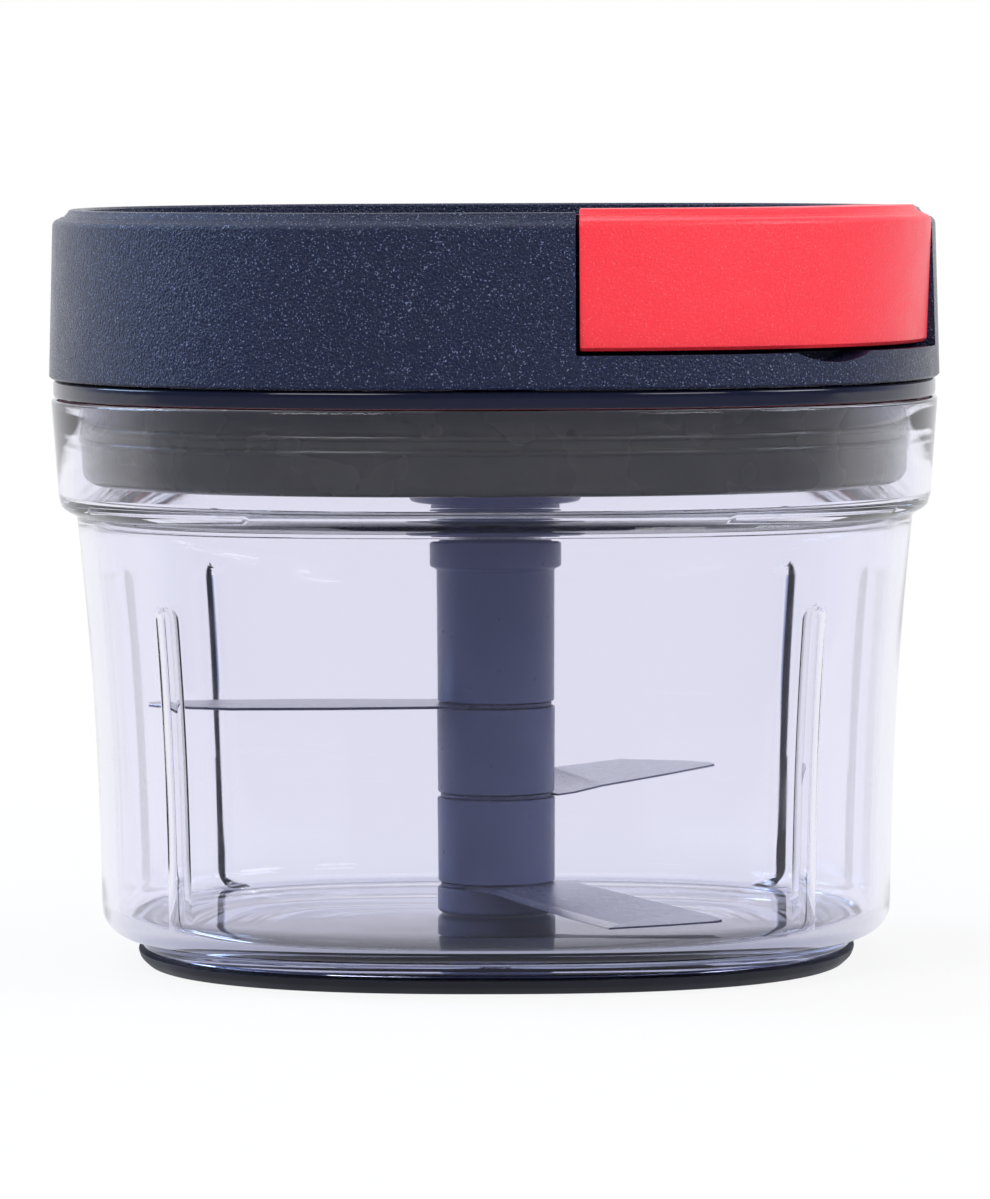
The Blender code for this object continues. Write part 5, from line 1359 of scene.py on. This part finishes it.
def make_coupler():
    """The drive piece under the lid, with the hexagonal socket that the column's core fits."""
    hub_top = BASE_LOW.z + HUB_BUSH_HEIGHT + SEAT_GAP + HUB_BUSH_FLANGE_THICK
    groove_low = hub_top + SEAT_GAP - SEAM_GAP
    groove_high = hub_top + SEAT_GAP + CIRCLIP_THICK + SEAM_GAP
    barrel_top = groove_high + CIRCLIP_THICK
    groove = COUPLER_BARREL_RADIUS - CIRCLIP_GROOVE_DEPTH
    shoulder = COUPLER_HIGH.z - TANG_HEIGHT
    flange_top = BASE_LOW.z - COUPLER_FLANGE_GAP
    flange_low = flange_top - COUPLER_FLANGE_THICK
    flange_edge = COUPLER_FLANGE_THICK / 4
    outline = [
        (0.0, shoulder),
        *tier(COUPLER_SHAFT_RADIUS, shoulder, barrel_top),
        *tier(COUPLER_BARREL_RADIUS, barrel_top, groove_high),
        *tier(groove, groove_high, groove_low),
        *tier(COUPLER_BARREL_RADIUS, groove_low, flange_top),
        *tier(COUPLER_FLANGE_RADIUS, flange_top, flange_low + flange_edge),
        (COUPLER_FLANGE_RADIUS - flange_edge, flange_low),
        *tier(COUPLER_STEP_RADIUS, flange_low, COUPLER_LOW.z),
        (0.0, COUPLER_LOW.z),
    ]
    coupler = turned("coupler_skin", rounded(outline, FINE_ROUND), SLATE_LOOK)
    tang = hexagon("tang", TANG_ACROSS, shoulder - CUT_OVERRUN, COUPLER_HIGH.z)
    join(coupler, tang)
    socket = hexagon("socket", HEX_HOLE, COUPLER_LOW.z - CUT_OVERRUN, COUPLER_LOW.z + SOCKET_DEPTH)
    cut(coupler, socket)
    carry(coupler, "reel", "drive_coupler")


def node_look(look, *nodes):
    """Keeps these nodes' CAD shape and gives them a finished material."""
    for name in nodes:
        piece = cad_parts[name]
        piece.data.materials.clear()
        piece.data.materials.append(look)


make_bowl()
make_foot()
make_pin()
make_shell()
make_base()
make_screws()
make_seal()
make_gasket()
make_grip()
make_handle_back()
make_eyelet()
make_cord()
make_spindle()
make_column()
# The lower blade's darker steel is painted shade
make_blade(
    "lower", LOWER_BLADE_SHADED_STEEL, LOWER_BLADE_RISE, LOWER_BLADE_ANGLE, LOWER_BLADE_SHARES, TEETH_SHARES
)
make_blade("middle", BLADE_STEEL, MIDDLE_BLADE_RISE, MIDDLE_BLADE_ANGLE, MIDDLE_BLADE_SHARES)
make_blade("upper", BLADE_STEEL, UPPER_BLADE_RISE, UPPER_BLADE_ANGLE, UPPER_BLADE_SHARES)
make_coupler()

# Pieces inside keep their CAD shape
node_look(STEEL_LOOK, "reel_axle")
node_look(SPRING_LOOK, "recoil_spring", "hub_circlip", "column_clip")
node_look(REEL_LOOK, "cord_reel", "spring_cover")
node_look(NYLON_LOOK, "spindle_bush")
node_look(BRASS_LOOK, "hub_bush")
node_look(CORD_LOOK, "cord_winding", "cord_knot")


# Camera, floor, world and lamps
FLOOR_HALF = 6.0
FLOOR_COLOUR = (0.80, 0.80, 0.82)
SHADOW_NEAR = 0.08
SHADOW_FAR = 0.30
SHADOW_WHITE = 0.88
UNDER_BOWL = 0.047
BESIDE_BOWL = 0.050
AMBIENT = 0.32
AMBIENT_COLOUR = (0.92, 0.93, 1.0)
FRONT_SLATE = (0.10, 0.11, 0.18)
FRONT_FLOOR = (0.32, 0.33, 0.42)
BACK_WHITE = (0.92, 0.92, 0.95)
WHITE = (1.0, 1.0, 1.0)
FLOOR_SLATE_Y = -0.10
FLOOR_WHITE_Y = 0.03
LAMP_AIM_Z = 0.07
FLOOR_BACK = 0.9
FLOOR_STOPS = ((0.0, FRONT_FLOOR), (FLOOR_BACK, BACK_WHITE), (1.0, WHITE))
STUDIO_STOPS = (
    (0.0, FRONT_SLATE),
    (0.56, (0.13, 0.14, 0.23)),
    (0.75, (0.40, 0.45, 0.66)),
    (0.91, BACK_WHITE),
)


def make_camera():
    camera = bpy.data.cameras.new("camera")
    camera.lens = FOCAL_PX * SENSOR / max(IMAGE_WIDTH, IMAGE_HEIGHT)
    camera.sensor_width = SENSOR
    camera.clip_start = 0.01
    camera.clip_end = 20.0
    made = bpy.data.objects.new("camera", camera)
    bpy.context.scene.collection.objects.link(made)
    turn = Matrix.Rotation(radians(-OBJECT_TURN), 4, "Z")
    place = Matrix.Translation((CAMERA_SIDE, -CAMERA_DISTANCE, CAMERA_HEIGHT))
    tilt = Matrix.Rotation(radians(90.0 - CAMERA_PITCH), 4, "X")
    roll = Matrix.Rotation(radians(CAMERA_ROLL), 4, "Z")
    made.matrix_world = turn @ place @ tilt @ roll
    bpy.context.scene.camera = made


def mix_shaders(tree, share, first, second):
    inputs = {"Fac": share, 1: first, 2: second}
    return add_node(tree, "ShaderNodeMixShader", inputs).outputs["Shader"]


def ray(tree, kind):
    return add_node(tree, "ShaderNodeLightPath", {}).outputs[kind]


def seen_ray(tree):
    """1 for rays that show a surface to the camera, straight or by a clear or glossy one."""
    mirrored = calculate(tree, "MAXIMUM", ray(tree, "Is Transmission Ray"), ray(tree, "Is Glossy Ray"))
    return calculate(tree, "MAXIMUM", ray(tree, "Is Camera Ray"), mirrored)


def make_floor():
    """A white floor that keeps a little of the object's shadow close by. Mirrors and clear walls
    see slate on it in front of the object, as they do in the world."""
    bm = bmesh.new()
    bmesh.ops.create_grid(bm, x_segments=1, y_segments=1, size=FLOOR_HALF)
    look = Look("floor", FLOOR_COLOUR, 0.6, Specular_IOR_Level=0.0)
    tree = look.tree
    place = add_node(tree, "ShaderNodeNewGeometry", {}).outputs["Position"]
    far = add_node(tree, "ShaderNodeVectorMath", {0: place}, operation="LENGTH").outputs["Value"]
    fade = map_range(tree, far, SHADOW_NEAR, SHADOW_FAR, SHADOW_WHITE, 1.0)
    beside = map_range(tree, far, UNDER_BOWL, BESIDE_BOWL)
    lit = calculate(tree, "MULTIPLY", seen_ray(tree), calculate(tree, "MULTIPLY", fade, beside))
    depth = coordinate(tree, place, "Y")
    behind = map_range(tree, depth, FLOOR_SLATE_Y, FLOOR_WHITE_Y, 0.0, FLOOR_BACK)
    white = calculate(tree, "MAXIMUM", ray(tree, "Is Camera Ray"), behind)
    field = colour_ramp(tree, white, FLOOR_STOPS)
    glow = add_node(tree, "ShaderNodeEmission", {"Color": field, "Strength": 1.0})
    shown = mix_shaders(tree, lit, look.shader.outputs["BSDF"], glow.outputs["Emission"])
    tree.links.new(shown, tree.nodes["Material Output"].inputs["Surface"])
    floor = mesh_piece("floor", bm, look.material)
    floor.location.z = -FINE_ROUND


def background(tree, colour, strength=1.0):
    inputs = {"Color": colour, "Strength": strength}
    return add_node(tree, "ShaderNodeBackground", inputs).outputs["Background"]


def make_world():
    """Soft light all round. What mirrors and clear walls show of it is white ahead of the camera
    and a dark slate behind it, and the camera itself sees white."""
    world = bpy.data.worlds.new("studio")
    bpy.context.scene.world = world
    world.use_nodes = True
    tree = world.node_tree
    tree.nodes.clear()
    ambient = background(tree, (*AMBIENT_COLOUR, 1.0), AMBIENT)
    white = background(tree, (*WHITE, 1.0))
    direction = add_node(tree, "ShaderNodeTexCoord", {}).outputs["Generated"]
    ahead = map_range(tree, coordinate(tree, direction, "Y"), -1.0, 1.0)
    studio = background(tree, colour_ramp(tree, ahead, STUDIO_STOPS))
    shown = mix_shaders(tree, seen_ray(tree), ambient, studio)
    shown = mix_shaders(tree, ray(tree, "Is Camera Ray"), shown, white)
    add_node(tree, "ShaderNodeOutputWorld", {"Surface": shown})


def lamp(name, place, size, power, colour=WHITE, aim_z=LAMP_AIM_Z):
    data = bpy.data.lights.new(name, "AREA")
    data.shape = "RECTANGLE"
    data.size, data.size_y = size
    data.energy = power
    data.color = colour
    made = bpy.data.objects.new(name, data)
    bpy.context.scene.collection.objects.link(made)
    made.location = place
    way = Vector((0.0, 0.0, aim_z)) - Vector(place)
    made.rotation_euler = way.to_track_quat("-Z", "Y").to_euler()


make_camera()
make_floor()
make_world()
lamp("key", (-0.7, -1.1, 1.1), size=(0.7, 0.7), power=10.0)
lamp("fill", (0.9, -1.2, 0.8), size=(0.6, 0.6), power=5.5)
lamp("top", (0.0, 0.2, 1.4), size=(0.9, 0.9), power=7.0)
lamp("left", (-0.88, 0.30, 0.62), (0.5, 0.6), power=8.0, colour=(0.50, 0.70, 1.0))
lamp("right", (0.95, -0.20, 0.62), (0.4, 0.5), power=4.5, colour=(0.88, 0.92, 1.0), aim_z=0.08)

bpy.context.scene.view_settings.view_transform = "Standard"
bpy.context.scene.cycles.max_bounces = 28
bpy.context.scene.cycles.glossy_bounces = 16
bpy.context.scene.cycles.transmission_bounces = 24
